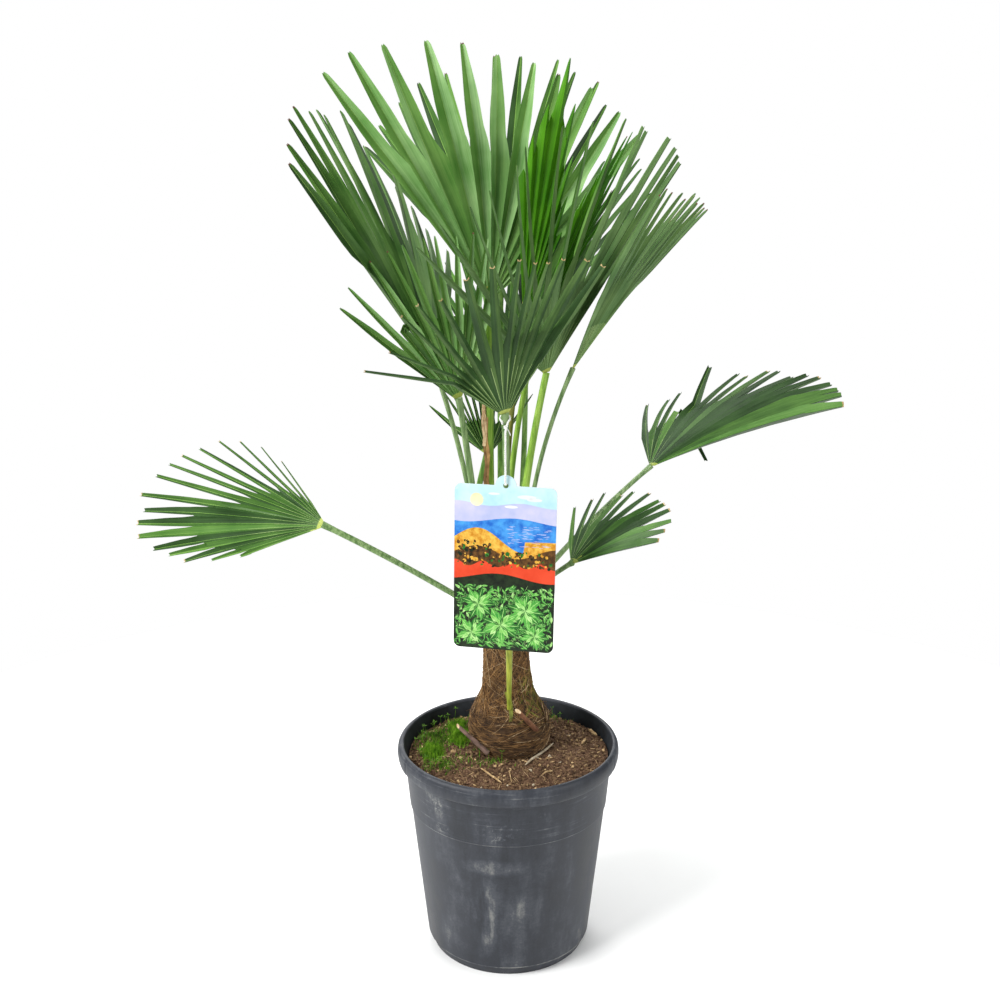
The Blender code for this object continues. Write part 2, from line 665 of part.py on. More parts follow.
def main():
    clear_scene()
    pot_plastic = make_material("pot_plastic", (0.07, 0.08, 0.09), 0.55)
    potting_soil = make_material("potting_soil", (0.12, 0.07, 0.04), 0.95)
    trunk_fibre = make_material("trunk_fibre", (0.16, 0.09, 0.045), 0.9)
    stalk_green = make_material("stalk_green", (0.16, 0.30, 0.07), 0.45)
    leaf_green = make_material("leaf_green", (0.05, 0.14, 0.04), 0.45)
    young_green = make_material("young_leaf_green", (0.05, 0.22, 0.01), 0.4)
    dry_stalk = make_material("dry_stalk", (0.30, 0.17, 0.09), 0.8)
    printed_card = make_material("printed_card", (0.30, 0.50, 0.75), 0.35)
    white_string = make_material("white_string", (0.85, 0.85, 0.82), 0.6)
    make_pot(pot_plastic)
    make_soil(potting_soil)
    make_trunk(trunk_fibre)
    for frond in FRONDS:
        make_stalk(frond, stalk_green)
        make_blade(frond, young_green if frond.name.startswith("young") else leaf_green)
    for stub in STUBS:
        cut_stalk(*stub, dry_stalk)
    make_card(printed_card)
    make_string(white_string)


main()
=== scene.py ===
# %% [markdown]
# A young windmill palm in its nursery pot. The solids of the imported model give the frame:
# where the pot, trunk, stalks and fans stand. This lesson dresses each of them with a finer
# piece in the same place. Everything is in metres with +Z up, and the front faces -Y.

# %% Load the frame
import math
import random

import bpy
import numpy as np
from mathutils import Matrix, Vector


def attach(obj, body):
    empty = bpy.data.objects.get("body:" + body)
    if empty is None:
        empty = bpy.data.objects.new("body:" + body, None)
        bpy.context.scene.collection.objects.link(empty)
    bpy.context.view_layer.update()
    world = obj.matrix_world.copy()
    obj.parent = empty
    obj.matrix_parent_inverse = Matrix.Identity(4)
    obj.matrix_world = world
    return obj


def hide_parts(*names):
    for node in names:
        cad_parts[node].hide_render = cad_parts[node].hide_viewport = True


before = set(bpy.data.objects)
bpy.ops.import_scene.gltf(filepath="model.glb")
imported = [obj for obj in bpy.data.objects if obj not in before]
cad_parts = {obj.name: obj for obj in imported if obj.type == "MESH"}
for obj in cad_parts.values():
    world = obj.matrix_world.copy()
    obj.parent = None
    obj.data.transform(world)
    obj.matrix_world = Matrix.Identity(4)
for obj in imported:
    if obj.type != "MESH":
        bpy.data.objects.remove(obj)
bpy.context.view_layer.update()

# %% [markdown]
# Colours are picked as sRGB hex values, as in a paint program. Blender's shaders work
# in linear light, so one function turns a hex value into linear numbers. A second small
# function adds one node with its settings and its links, and every material is built with it.

# %% Colour and node helpers
def linear(hex_value):
    channels = [int(hex_value[k:k + 2], 16) / 255 for k in (1, 3, 5)]
    return tuple(c / 12.92 if c <= 0.04045 else ((c + 0.055) / 1.055) ** 2.4
                 for c in channels) + (1.0,)


def add_node(tree, kind, settings=None, **inputs):
    """Add a node; settings are its properties, and inputs are values or other sockets."""
    node = tree.nodes.new(kind)
    for key, value in (settings or {}).items():
        setattr(node, key, value)
    for key, value in inputs.items():
        socket = node.inputs[int(key[1:]) if key[0] == "i" and key[1:].isdigit() else
                             key.replace("_", " ")]
        if isinstance(value, bpy.types.NodeSocket):
            tree.links.new(value, socket)
        else:
            socket.default_value = value
    return node


def new_material(name, roughness, ior=1.45):
    """An empty material with its shader, at a typical roughness and index of refraction."""
    material = bpy.data.materials.new(name)
    material.use_nodes = True
    shader = material.node_tree.nodes["Principled BSDF"]
    shader.inputs["Roughness"].default_value = roughness
    shader.inputs["IOR"].default_value = ior
    shader.inputs["Specular IOR Level"].default_value = 0.35
    return material, material.node_tree, shader


def blend_colours(tree, shader, amount, stops):
    """Feed the shader's colour from a ramp of (position, hex colour) stops."""
    ramp = add_node(tree, "ShaderNodeValToRGB", i0=amount)
    ramp.color_ramp.elements[0].position = stops[0][0]
    ramp.color_ramp.elements[0].color = linear(stops[0][1])
    ramp.color_ramp.elements[1].position = stops[-1][0]
    ramp.color_ramp.elements[1].color = linear(stops[-1][1])
    for position, hex_value in stops[1:-1]:
        ramp.color_ramp.elements.new(position).color = linear(hex_value)
    tree.links.new(ramp.outputs[0], shader.inputs["Base Color"])


def mottled(name, roughness, ior, scale, stops, detail=4.0, grit=0.5, relief=None):
    """A natural surface: noise of one grain size blends its colours and lifts its skin."""
    material, tree, shader = new_material(name, roughness, ior)
    place = add_node(tree, "ShaderNodeTexCoord").outputs["Object"]
    grain = add_node(tree, "ShaderNodeTexNoise", Vector=place, Scale=scale, Detail=detail,
                     Roughness=grit).outputs[0]
    blend_colours(tree, shader, grain, stops)
    if relief:
        bump = add_node(tree, "ShaderNodeBump", Height=grain, Strength=relief[0],
                        Distance=relief[1])
        tree.links.new(bump.outputs[0], shader.inputs["Normal"])
    return material


# %% [markdown]
# A studio photograph of a cut-out plant has a pale ground and soft, even light. The camera
# stands 1.47 m in front of the pot and about a metre up, and looks down a little, which was
# worked out from the ellipse of the pot's rim. Four large lamps and a pale sky do the rest.

# %% Camera, floor and light
CAMERA_DISTANCE = 1.47
CAMERA_HEIGHT = 0.977
CAMERA_PITCH = 16.7
CAMERA_LENS = 50.8
CAMERA_SHIFT = -0.0082
SKY_STRENGTH = 0.34
FLOOR_RADIUS = 1.15

camera_data = bpy.data.cameras.new("camera")
camera_data.sensor_width = 36.0
camera_data.lens = CAMERA_LENS
camera_data.shift_x = CAMERA_SHIFT
camera_data.dof.use_dof = False
camera = bpy.data.objects.new("camera", camera_data)
camera.location = (0.0, -CAMERA_DISTANCE, CAMERA_HEIGHT)
camera.rotation_euler = (math.radians(90 - CAMERA_PITCH), 0.0, 0.0)
bpy.context.scene.collection.objects.link(camera)
bpy.context.scene.camera = camera
# Plain sRGB keeps white paper white, as in a product photograph
bpy.context.scene.view_settings.view_transform = "Standard"


def soft_lamp(name, place, size, watts, aim=(0.0, 0.0, 0.6)):
    lamp_data = bpy.data.lights.new(name, "AREA")
    lamp_data.size = size
    lamp_data.energy = watts
    lamp = bpy.data.objects.new(name, lamp_data)
    lamp.location = place
    lamp.rotation_euler = (Vector(aim) - Vector(place)).to_track_quat("-Z", "Y").to_euler()
    bpy.context.scene.collection.objects.link(lamp)


soft_lamp("key_lamp", (-2.3, -1.5, 2.2), 1.7, 142)
soft_lamp("fill_lamp", (2.4, -1.6, 1.4), 2.0, 48)
soft_lamp("top_lamp", (0.2, 0.5, 2.9), 1.6, 50)
soft_lamp("back_lamp", (-0.6, 2.6, 1.6), 2.0, 40)

world = bpy.data.worlds.new("studio_air")
bpy.context.scene.world = world
world.use_nodes = True
# The sky lights the plant softly, and the paper behind it is seen whiter than it shines
sky = world.node_tree.nodes["Background"]
sky.inputs["Color"].default_value = linear("#f7fafc")
sky.inputs["Strength"].default_value = SKY_STRENGTH
paper = add_node(world.node_tree, "ShaderNodeBackground", Color=linear("#ffffff"), Strength=1.0)
seen = add_node(world.node_tree, "ShaderNodeLightPath").outputs["Is Camera Ray"]
mixed = add_node(world.node_tree, "ShaderNodeMixShader", i0=seen, i1=sky.outputs[0],
                 i2=paper.outputs[0])
world.node_tree.links.new(mixed.outputs[0],
                          world.node_tree.nodes["World Output"].inputs["Surface"])

bpy.ops.object.select_all(action="DESELECT")
bpy.ops.mesh.primitive_circle_add(vertices=96, radius=FLOOR_RADIUS, fill_type="NGON")
floor = bpy.context.object
floor.name = "studio_floor"
floor_material, _, floor_shader = new_material("studio_floor_paper", 0.9)
floor_shader.inputs["Base Color"].default_value = linear("#f8f8f7")
floor.data.materials.append(floor_material)
print("camera looks down", CAMERA_PITCH, "degrees from", CAMERA_DISTANCE, "m")

# %% [markdown]
# Leaves, fibres and crumbs come by the hundred, so they are not modelled one by one. A
# function collects corners and faces as lists, and one mesh is made from them at the end.
# Each face carries the number of its material, so that colours can be dealt out by leaflet.

# %% One mesh from many small shapes
def tube_faces(rings, sides):
    """Faces that join rings of corners into an open tube, from the first ring to the last."""
    return [(near * sides + k, near * sides + (k + 1) % sides,
             (near + 1) * sides + (k + 1) % sides, (near + 1) * sides + k)
            for near in range(rings - 1) for k in range(sides)]


def end_faces(rings, sides):
    """The two faces that close such a tube."""
    last = (rings - 1) * sides
    return [tuple(range(sides))[::-1], tuple(range(last, last + sides))]


class Heap:
    """Collects small shapes that are joined in one piece."""

    def __init__(self):
        self.points = []
        self.faces = []
        self.slots = []
        self.uvs = []
        self.count = 0

    def add(self, points, faces, slots, uvs=None):
        start = self.count
        self.points.append(np.asarray(points, dtype=float))
        self.count += len(points)
        self.faces.extend([tuple(start + corner for corner in face) for face in faces])
        self.slots.extend(slots if hasattr(slots, "__len__") else [slots] * len(faces))
        if uvs is not None:
            for face in faces:
                self.uvs.extend([uvs[corner] for corner in face])

    def piece(self, name, materials, slot_name, replaced=(), smooth=None):
        mesh = bpy.data.meshes.new(name)
        mesh.from_pydata(np.concatenate(self.points).tolist(), [], self.faces)
        for material in materials:
            mesh.materials.append(material)
        mesh.polygons.foreach_set("material_index", self.slots)
        if self.uvs:
            layer = mesh.uv_layers.new(name="grain")
            layer.data.foreach_set("uv", np.asarray(self.uvs, dtype=float).ravel())
        if smooth is None:
            mesh.polygons.foreach_set("use_smooth", [False] * len(self.faces))
        else:
            mesh.shade_smooth()
            mesh.set_sharp_from_angle(angle=math.radians(smooth))
        mesh.update()
        piece = bpy.data.objects.new(name, mesh)
        bpy.context.scene.collection.objects.link(piece)
        dress(piece, replaced)
        return piece


def dress(piece, replaced=()):
    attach(piece, "root")
    if replaced:
        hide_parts(*replaced)
    piece.data.calc_loop_triangles()
    print(piece.name, len(piece.data.loop_triangles), "triangles")


def unit(vector):
    return vector / np.linalg.norm(vector)


# %% [markdown]
# The pot is injection-moulded polypropylene: a rolled lip, a step halfway down and a foot
# that narrows. A lathe shape like this is a profile spun about the axis. The profile is
# drawn as a chain of corners and spun in edit mode. The mould rounds every turn a little, so
# each one is drawn in two or three short steps.

# %% Pot sizes
POT_HEIGHT = 0.250
RIM_RADIUS = 0.125
LIP_HEIGHT = 0.020
LIP_BULGE = 0.0015
LIP_WIDTH = 0.0060
WALL = 0.0030
UPPER_RADIUS = 0.1180
STEP_HEIGHT = 0.176
STEP_RADIUS = 0.1118
STEP_LEDGE = 0.0014
LOWER_HEIGHT = 0.012
LOWER_RADIUS = 0.0943
FOOT_RADIUS = 0.0885
FLOOR_THICKNESS = 0.004
POT_STEPS = 288
# Bearings of the small dents that handling has left in the lip, in degrees
LIP_DENTS = (-122.0, -114.5, -96.3, -80.1, -65.8, -20.0, 38.0, 95.0, 151.0, 205.0)
DENT_DEPTH = 0.0010
DENT_WIDTH = 1.0


def pot_inner_radius(height):
    if height < LOWER_HEIGHT:
        return FOOT_RADIUS + (LOWER_RADIUS - FOOT_RADIUS) * height / LOWER_HEIGHT - WALL
    if height >= STEP_HEIGHT:
        share = (height - STEP_HEIGHT) / (POT_HEIGHT - LIP_HEIGHT - STEP_HEIGHT)
        return STEP_RADIUS + (UPPER_RADIUS - STEP_RADIUS) * share - WALL
    share = (height - LOWER_HEIGHT) / (STEP_HEIGHT - LOWER_HEIGHT)
    return LOWER_RADIUS + (STEP_RADIUS - LOWER_RADIUS) * share - WALL


# %% [markdown]
# Old nursery pots are charcoal plastic with a slight blue cast. Dust settles in streaks and
# scuffs show paler. Noise in Object coordinates lays the dust, stretched up the wall so that
# it runs down as water left it, and a finer noise roughens the skin where it is scuffed.

# %% Pot plastic
SCUFF = ((-0.016, -0.104, 0.147), (0.038, 0.030, 0.011))
STREAKS = ((-0.026, -0.100, 0.080), (0.015, 0.030, 0.060))
SPECKS = (((-0.077, -0.085, 0.213), (0.010, 0.014, 0.010)),
          ((-0.070, -0.088, 0.186), (0.014, 0.016, 0.006)),
          ((-0.006, -0.117, 0.193), (0.030, 0.024, 0.016)),
          ((0.037, -0.110, 0.213), (0.005, 0.012, 0.006)))
DUST_LINES = (POT_HEIGHT - LIP_HEIGHT - 0.0012, STEP_HEIGHT + 0.0008, LOWER_HEIGHT)
CHARCOAL = ((0.20, "#1f2228"), (0.31, "#2e3138"), (0.40, "#42454b"), (0.55, "#80807c"))


def patch_mask(tree, place, centre, size):
    """1 inside an oval place on the piece, fading to 0 at its edge."""
    moved = add_node(tree, "ShaderNodeVectorMath", {"operation": "SUBTRACT"}, i0=place, i1=centre)
    scaled = add_node(tree, "ShaderNodeVectorMath", {"operation": "DIVIDE"}, i0=moved.outputs[0],
                      i1=size)
    away = add_node(tree, "ShaderNodeVectorMath", {"operation": "LENGTH"}, i0=scaled.outputs[0])
    return add_node(tree, "ShaderNodeMapRange", i0=away.outputs["Value"], i1=0.55, i2=1.1, i3=1.0,
                    i4=0.0).outputs[0]


def stretched_noise(tree, place, scale, detail, roughness):
    """Noise whose grain is drawn out: a small scale along an axis makes it long that way."""
    mapped = add_node(tree, "ShaderNodeMapping", i0=place, Scale=scale)
    return add_node(tree, "ShaderNodeTexNoise", Vector=mapped.outputs[0], Scale=1.0,
                    Detail=detail, Roughness=roughness).outputs[0]


def peaks(tree, pattern, low, high):
    """Keep only the peaks of a pattern, as for scratches and specks."""
    return add_node(tree, "ShaderNodeMapRange", i0=pattern, i1=low, i2=high).outputs[0]


def pot_plastic(name="polypropylene_charcoal"):
    material, tree, shader = new_material(name, 0.5, 1.49)
    place = add_node(tree, "ShaderNodeTexCoord").outputs["Object"]
    streak = stretched_noise(tree, place, (38, 38, 7), 6.0, 0.62)
    patch = stretched_noise(tree, place, (17, 17, 17), 8.0, 0.72)
    speck = stretched_noise(tree, place, (420, 420, 420), 3.0, 0.5)
    grit = stretched_noise(tree, place, (190, 190, 190), 5.0, 0.75)
    scratch = stretched_noise(tree, place, (16, 16, 420), 4.0, 0.6)
    both = add_node(tree, "ShaderNodeMath", {"operation": "MULTIPLY"}, i0=streak, i1=patch)
    dusty = add_node(tree, "ShaderNodeMath", {"operation": "MULTIPLY_ADD"}, i0=speck, i1=0.10,
                     i2=both.outputs[0])
    height = add_node(tree, "ShaderNodeSeparateXYZ", i0=place).outputs["Z"]
    upper = add_node(tree, "ShaderNodeMapRange", i0=height, i1=STEP_HEIGHT - 0.004,
                     i2=STEP_HEIGHT + 0.012).outputs[0]
    marks = [(patch_mask(tree, place, *SCUFF), grit, 0.27),
             (patch_mask(tree, place, *STREAKS), peaks(tree, streak, 0.36, 0.66), 0.24),
             (upper, peaks(tree, scratch, 0.56, 0.74), 0.16)]
    marks += [(patch_mask(tree, place, *spot), peaks(tree, grit, 0.52, 0.62), 0.13)
              for spot in SPECKS]
    for line in DUST_LINES:
        on_line = add_node(tree, "ShaderNodeMath", {"operation": "COMPARE"}, i0=height, i1=line,
                           i2=0.0007)
        marks.append((on_line.outputs[0], patch, 0.30))
    for mask, pattern, amount in marks:
        shown = add_node(tree, "ShaderNodeMath", {"operation": "MULTIPLY"}, i0=mask, i1=pattern)
        dusty = add_node(tree, "ShaderNodeMath", {"operation": "MULTIPLY_ADD"},
                         i0=shown.outputs[0], i1=amount, i2=dusty.outputs[0])
    blend_colours(tree, shader, dusty.outputs[0], CHARCOAL)
    rough = add_node(tree, "ShaderNodeMapRange", i0=dusty.outputs[0], i1=0.2, i2=0.5, i3=0.42,
                     i4=0.7)
    tree.links.new(rough.outputs[0], shader.inputs["Roughness"])
    bump = add_node(tree, "ShaderNodeBump", Height=grit, Strength=0.14, Distance=0.0006)
    tree.links.new(bump.outputs[0], shader.inputs["Normal"])
    return material


POT_PLASTIC = pot_plastic()
# Painted shade: the inside of the pot is given a near-black plastic, darker than the outside, for
# the shade that falls inside it
POT_INSIDE_SHADE = mottled("polypropylene_inside_shade", 0.6, 1.49, 45.0,
                     ((0.38, "#0f1317"), (0.66, "#23292e")), 6.0, 0.7, (0.2, 0.0006))

# %% Spin the pot
def spun(name, profile, steps):
    """Spin a profile of (radius, height) corners about the upright axis; closed at the axis."""
    bpy.ops.object.select_all(action="DESELECT")
    bpy.ops.mesh.primitive_plane_add(size=0.01)
    piece = bpy.context.object
    piece.name = name
    bpy.ops.object.mode_set(mode="EDIT")
    bpy.ops.mesh.select_all(action="SELECT")
    bpy.ops.mesh.delete(type="VERT")
    bpy.ops.object.mode_set(mode="OBJECT")
    piece.data.vertices.add(len(profile))
    for vertex, (radius, height) in zip(piece.data.vertices, profile):
        vertex.co = (radius, 0.0, height)
    piece.data.edges.add(len(profile) - 1)
    for k, edge in enumerate(piece.data.edges):
        edge.vertices = (k, k + 1)
    bpy.ops.object.mode_set(mode="EDIT")
    bpy.ops.mesh.select_all(action="SELECT")
    bpy.ops.mesh.spin(steps=steps, angle=2 * math.pi, center=(0, 0, 0), axis=(0, 0, 1))
    bpy.ops.mesh.select_all(action="SELECT")
    bpy.ops.mesh.remove_doubles(threshold=0.00002)
    bpy.ops.mesh.normals_make_consistent(inside=False)
    bpy.ops.object.mode_set(mode="OBJECT")
    return piece


lip_foot = POT_HEIGHT - LIP_HEIGHT
POT_PROFILE = (
    (0.0, FLOOR_THICKNESS),
    (pot_inner_radius(FLOOR_THICKNESS), FLOOR_THICKNESS),
    (pot_inner_radius(LOWER_HEIGHT), LOWER_HEIGHT),
    (pot_inner_radius(STEP_HEIGHT), STEP_HEIGHT),
    (pot_inner_radius(lip_foot), lip_foot),
    (RIM_RADIUS - LIP_WIDTH, POT_HEIGHT - 0.0025),
    (RIM_RADIUS - LIP_WIDTH * 0.86, POT_HEIGHT - 0.0006),
    (RIM_RADIUS - LIP_WIDTH * 0.6, POT_HEIGHT),
    (RIM_RADIUS - LIP_WIDTH * 0.3, POT_HEIGHT - 0.0003),
    (RIM_RADIUS - LIP_WIDTH * 0.05, POT_HEIGHT - 0.0016),
    (RIM_RADIUS + LIP_BULGE * 0.6, POT_HEIGHT - 0.0042),
    (RIM_RADIUS + LIP_BULGE * 0.95, POT_HEIGHT - 0.0078),
    (RIM_RADIUS + LIP_BULGE, POT_HEIGHT - 0.0110),
    (RIM_RADIUS + LIP_BULGE * 0.7, POT_HEIGHT - 0.0150),
    (RIM_RADIUS, lip_foot + 0.0010),
    (RIM_RADIUS - 0.0010, lip_foot),
    (UPPER_RADIUS + 0.0014, lip_foot + 0.0006),
    (UPPER_RADIUS + 0.0004, lip_foot - 0.0004),
    (UPPER_RADIUS - 0.0004, lip_foot - 0.0050),
    (STEP_RADIUS + STEP_LEDGE + 0.0004, STEP_HEIGHT + STEP_LEDGE + 0.0040),
    (STEP_RADIUS + STEP_LEDGE, STEP_HEIGHT + STEP_LEDGE),
    (STEP_RADIUS + 0.0003, STEP_HEIGHT + 0.0003),
    (STEP_RADIUS, STEP_HEIGHT - 0.0010),
    (LOWER_RADIUS + 0.0002, LOWER_HEIGHT + 0.0010),
    (LOWER_RADIUS - 0.0004, LOWER_HEIGHT - 0.0008),
    (LOWER_RADIUS - 0.0026, LOWER_HEIGHT - 0.0016),
    (LOWER_RADIUS - 0.0032, LOWER_HEIGHT - 0.0026),
    (FOOT_RADIUS + 0.0006, 0.0012),
    (FOOT_RADIUS - 0.0006, 0.0),
    (0.0, 0.0),
)
pot = spun("nursery_pot", POT_PROFILE, POT_STEPS)
for vertex in pot.data.vertices:
    bearing = math.degrees(math.atan2(vertex.co.y, vertex.co.x))
    off = min(abs((bearing - dent + 180) % 360 - 180) for dent in LIP_DENTS)
    if vertex.co.z > lip_foot + 0.0005 and math.hypot(*vertex.co.xy) > RIM_RADIUS - 0.001:
        inward = 1 - DENT_DEPTH / RIM_RADIUS * max(0.0, 1 - off / DENT_WIDTH)
        vertex.co.x *= inward
        vertex.co.y *= inward
pot.data.materials.append(POT_PLASTIC)
pot.data.materials.append(POT_INSIDE_SHADE)
# Faces on the inner wall and the inner floor take the near-black painted-shade plastic
for face in pot.data.polygons:
    middle = face.center
    inward = face.normal.xy.dot(middle.xy) < -0.5 * middle.xy.length
    if inward and middle.z < POT_HEIGHT - 0.002 or abs(middle.z - FLOOR_THICKNESS) < 0.0001:
        face.material_index = 1
pot.data.shade_smooth()
pot.data.set_sharp_from_angle(angle=math.radians(38))
dress(pot, ("pot",))

# %% [markdown]
# The potting soil is low at the wall and mounded round the trunk. A grid of rings is lifted
# into the mound, and its relief comes from two sizes of noise. Thousands of crumbs, chips
# and pale sticks are strewn on it afterwards.

# %% Soil sizes and its height at any place
SOIL_EDGE_HEIGHT = 0.226
SOIL_SEAT_HEIGHT = 0.238
SOIL_SEAT_RADIUS = 0.052
SOIL_SIDE_RISE = 0.007
TRUNK_FOOT = np.array((0.002, 0.012, 0.2383))
TRUNK_TOP = np.array((-0.006, 0.006, 0.445))
SOIL_RADIUS = pot_inner_radius(SOIL_EDGE_HEIGHT) - 0.0004


def ripple(x, y, seed, size):
    """Smooth made-up relief between -1 and 1 with bumps of about one size in metres."""
    wave = np.random.default_rng(seed)
    total = 0.0
    for _ in range(6):
        turn = wave.uniform(0, 2 * math.pi)
        pace = 2 * math.pi / (size * wave.uniform(0.7, 1.6))
        shift = wave.uniform(0, 2 * math.pi)
        total = total + np.sin((x * math.cos(turn) + y * math.sin(turn)) * pace + shift)
    return total / 3.2


def soil_height(x, y):
    away = np.hypot(x - TRUNK_FOOT[0], y - TRUNK_FOOT[1])
    share = np.clip((away - SOIL_SEAT_RADIUS) / (SOIL_RADIUS - SOIL_SEAT_RADIUS), 0, 1)
    height = SOIL_EDGE_HEIGHT + (SOIL_SEAT_HEIGHT - SOIL_EDGE_HEIGHT) * (1 - share) ** 0.8
    height = height + SOIL_SIDE_RISE * (x / SOIL_RADIUS) ** 2
    return height + 0.0012 * ripple(x, y, 1, 0.03) + 0.0006 * ripple(x, y, 2, 0.009)


# %% Potting soil
# Moist peat is very dull, and its grains are about 3 mm across
SOIL_DARK = mottled("potting_soil_moist", 0.95, 1.4, 330.0,
                    ((0.30, "#33241a"), (0.48, "#5a4130"), (0.60, "#7b5f48"), (0.72, "#a08a70")),
                    6.0, 0.7, (0.9, 0.0025))
soil = Heap()
RINGS, SPOKES = 44, 150
ring_radii = SOIL_RADIUS * np.linspace(0, 1, RINGS + 1)[1:]
angles = np.linspace(0, 2 * math.pi, SPOKES, endpoint=False)
xs = np.outer(ring_radii, np.cos(angles))
ys = np.outer(ring_radii, np.sin(angles))
tops = np.stack([xs, ys, soil_height(xs, ys)], axis=-1).reshape(-1, 3)
centre_top = np.array([[0.0, 0.0, float(soil_height(np.array(0.0), np.array(0.0)))]])
skirt = np.stack([xs[-1], ys[-1], np.full(SPOKES, SOIL_EDGE_HEIGHT - 0.012)], axis=-1)
bottom = np.array([[0.0, 0.0, SOIL_EDGE_HEIGHT - 0.012]])
points = np.concatenate([centre_top, tops, skirt, bottom])
faces = [(0, 1 + k, 1 + (k + 1) % SPOKES) for k in range(SPOKES)]
for ring in range(RINGS):
    low, high = 1 + ring * SPOKES, 1 + (ring + 1) * SPOKES
    faces += [(low + k, high + k, high + (k + 1) % SPOKES, low + (k + 1) % SPOKES)
              for k in range(SPOKES)]
last = 1 + RINGS * SPOKES
faces += [(len(points) - 1, last + (k + 1) % SPOKES, last + k) for k in range(SPOKES)]
soil.add(points, faces, 0)
soil.piece("soil_mound", (SOIL_DARK,), "potting_soil", ("soil",), smooth=60)

# %% [markdown]
# The trunk of a young windmill palm is a stack of old leaf sheaths that have rotted to
# matted fibre: a basket of dark level strands at the foot, then a slim neck of crossing,
# orange-brown strands. A core in the solid's own taper is made first, then strands over it.

# %% Trunk profile
TRUNK_PROFILE = ((0.0, 0.041), (0.04, 0.045), (0.12, 0.0465), (0.2, 0.0435), (0.27, 0.036),
                 (0.34, 0.029), (0.45, 0.0262), (0.6, 0.0245), (0.75, 0.0195), (0.88, 0.0160),
                 (1.0, 0.0125))


def trunk_axis(height):
    share = np.clip((height - TRUNK_FOOT[2]) / (TRUNK_TOP[2] - TRUNK_FOOT[2]), 0, 1)
    return TRUNK_FOOT[:2] + np.multiply.outer(share, TRUNK_TOP[:2] - TRUNK_FOOT[:2])


def trunk_radius(height):
    share = (height - TRUNK_FOOT[2]) / (TRUNK_TOP[2] - TRUNK_FOOT[2])
    return np.interp(share, [row[0] for row in TRUNK_PROFILE], [row[1] for row in TRUNK_PROFILE])


def on_trunk(bearing, height, out=0.0):
    """Points on the trunk's skin; bearing in radians, out is the height above the skin."""
    centre = trunk_axis(height)
    radius = trunk_radius(height) + out
    return np.stack([centre[..., 0] + radius * np.cos(bearing),
                     centre[..., 1] + radius * np.sin(bearing),
                     np.broadcast_to(height, np.shape(bearing))], axis=-1)


# %% Fibre materials
def fibre(name, dark, light):
    """Dry palm fibre: dull strands whose colour wanders along their length."""
    return mottled(name, 0.85, 1.5, 150.0, ((0.32, dark), (0.68, light)), relief=(0.4, 0.0008))


FIBRE_DARK = fibre("palm_fibre_dark", "#33251a", "#62492f")
FIBRE_BROWN = fibre("palm_fibre_brown", "#5f4529", "#8e6c44")
FIBRE_ORANGE = fibre("palm_fibre_orange", "#7e5a34", "#b48c58")
FIBRE_PALE = fibre("palm_fibre_pale", "#9a7a55", "#cdb48c")
MOSS = fibre("moss_olive", "#525722", "#8b9138")
FIBRES = (FIBRE_DARK, FIBRE_BROWN, FIBRE_ORANGE, FIBRE_PALE, MOSS)

# %% Trunk core
core = Heap()
CORE_RINGS, CORE_SPOKES = 90, 72
heights = np.linspace(TRUNK_FOOT[2], TRUNK_TOP[2], CORE_RINGS)
bearings = np.linspace(0, 2 * math.pi, CORE_SPOKES, endpoint=False)
grid_b, grid_h = np.meshgrid(bearings, heights)
relief = 0.0011 * ripple(grid_b * 0.03, grid_h, 11, 0.012) - 0.0012
skin = on_trunk(grid_b.ravel(), grid_h.ravel(), relief.ravel())
core.add(skin, tube_faces(CORE_RINGS, CORE_SPOKES) + end_faces(CORE_RINGS, CORE_SPOKES), 0)
core.piece("trunk_core", (FIBRE_DARK,), "trunk_fibre", ("trunk",), smooth=60)

# %% [markdown]
# A strand is a three-sided tube laid on the trunk's skin. Each starts at a place drawn by
# chance and runs off at its own slant: nearly level in the basket, steep and crossing on the
# neck. Three sides are enough, because a strand is under a pixel wide in the photograph.

# %% Strands
def strand(heap, path, radius, slot, sides=3, pointed=True):
    """A thin closed tube along a path of points, pointed at both ends unless told otherwise."""
    path = np.asarray(path)
    ahead = np.gradient(path, axis=0)
    ahead /= np.linalg.norm(ahead, axis=1)[:, None] + 1e-12
    across = np.cross(ahead, (0.31, 0.27, 0.91))
    across /= np.linalg.norm(across, axis=1)[:, None] + 1e-12
    up = np.cross(ahead, across)
    count = len(path)
    width = radius * np.clip(np.sin(np.linspace(0, math.pi, count)) * 2.2, 0.25, 1.0)
    if not pointed:
        width = np.full(count, radius)
    turn = np.arange(sides) * 2 * math.pi / sides
    rings = (path[:, None] + width[:, None, None]
             * (across[:, None] * np.cos(turn)[None, :, None]
                + up[:, None] * np.sin(turn)[None, :, None]))
    heap.add(rings.reshape(-1, 3), tube_faces(count, sides) + end_faces(count, sides), slot)


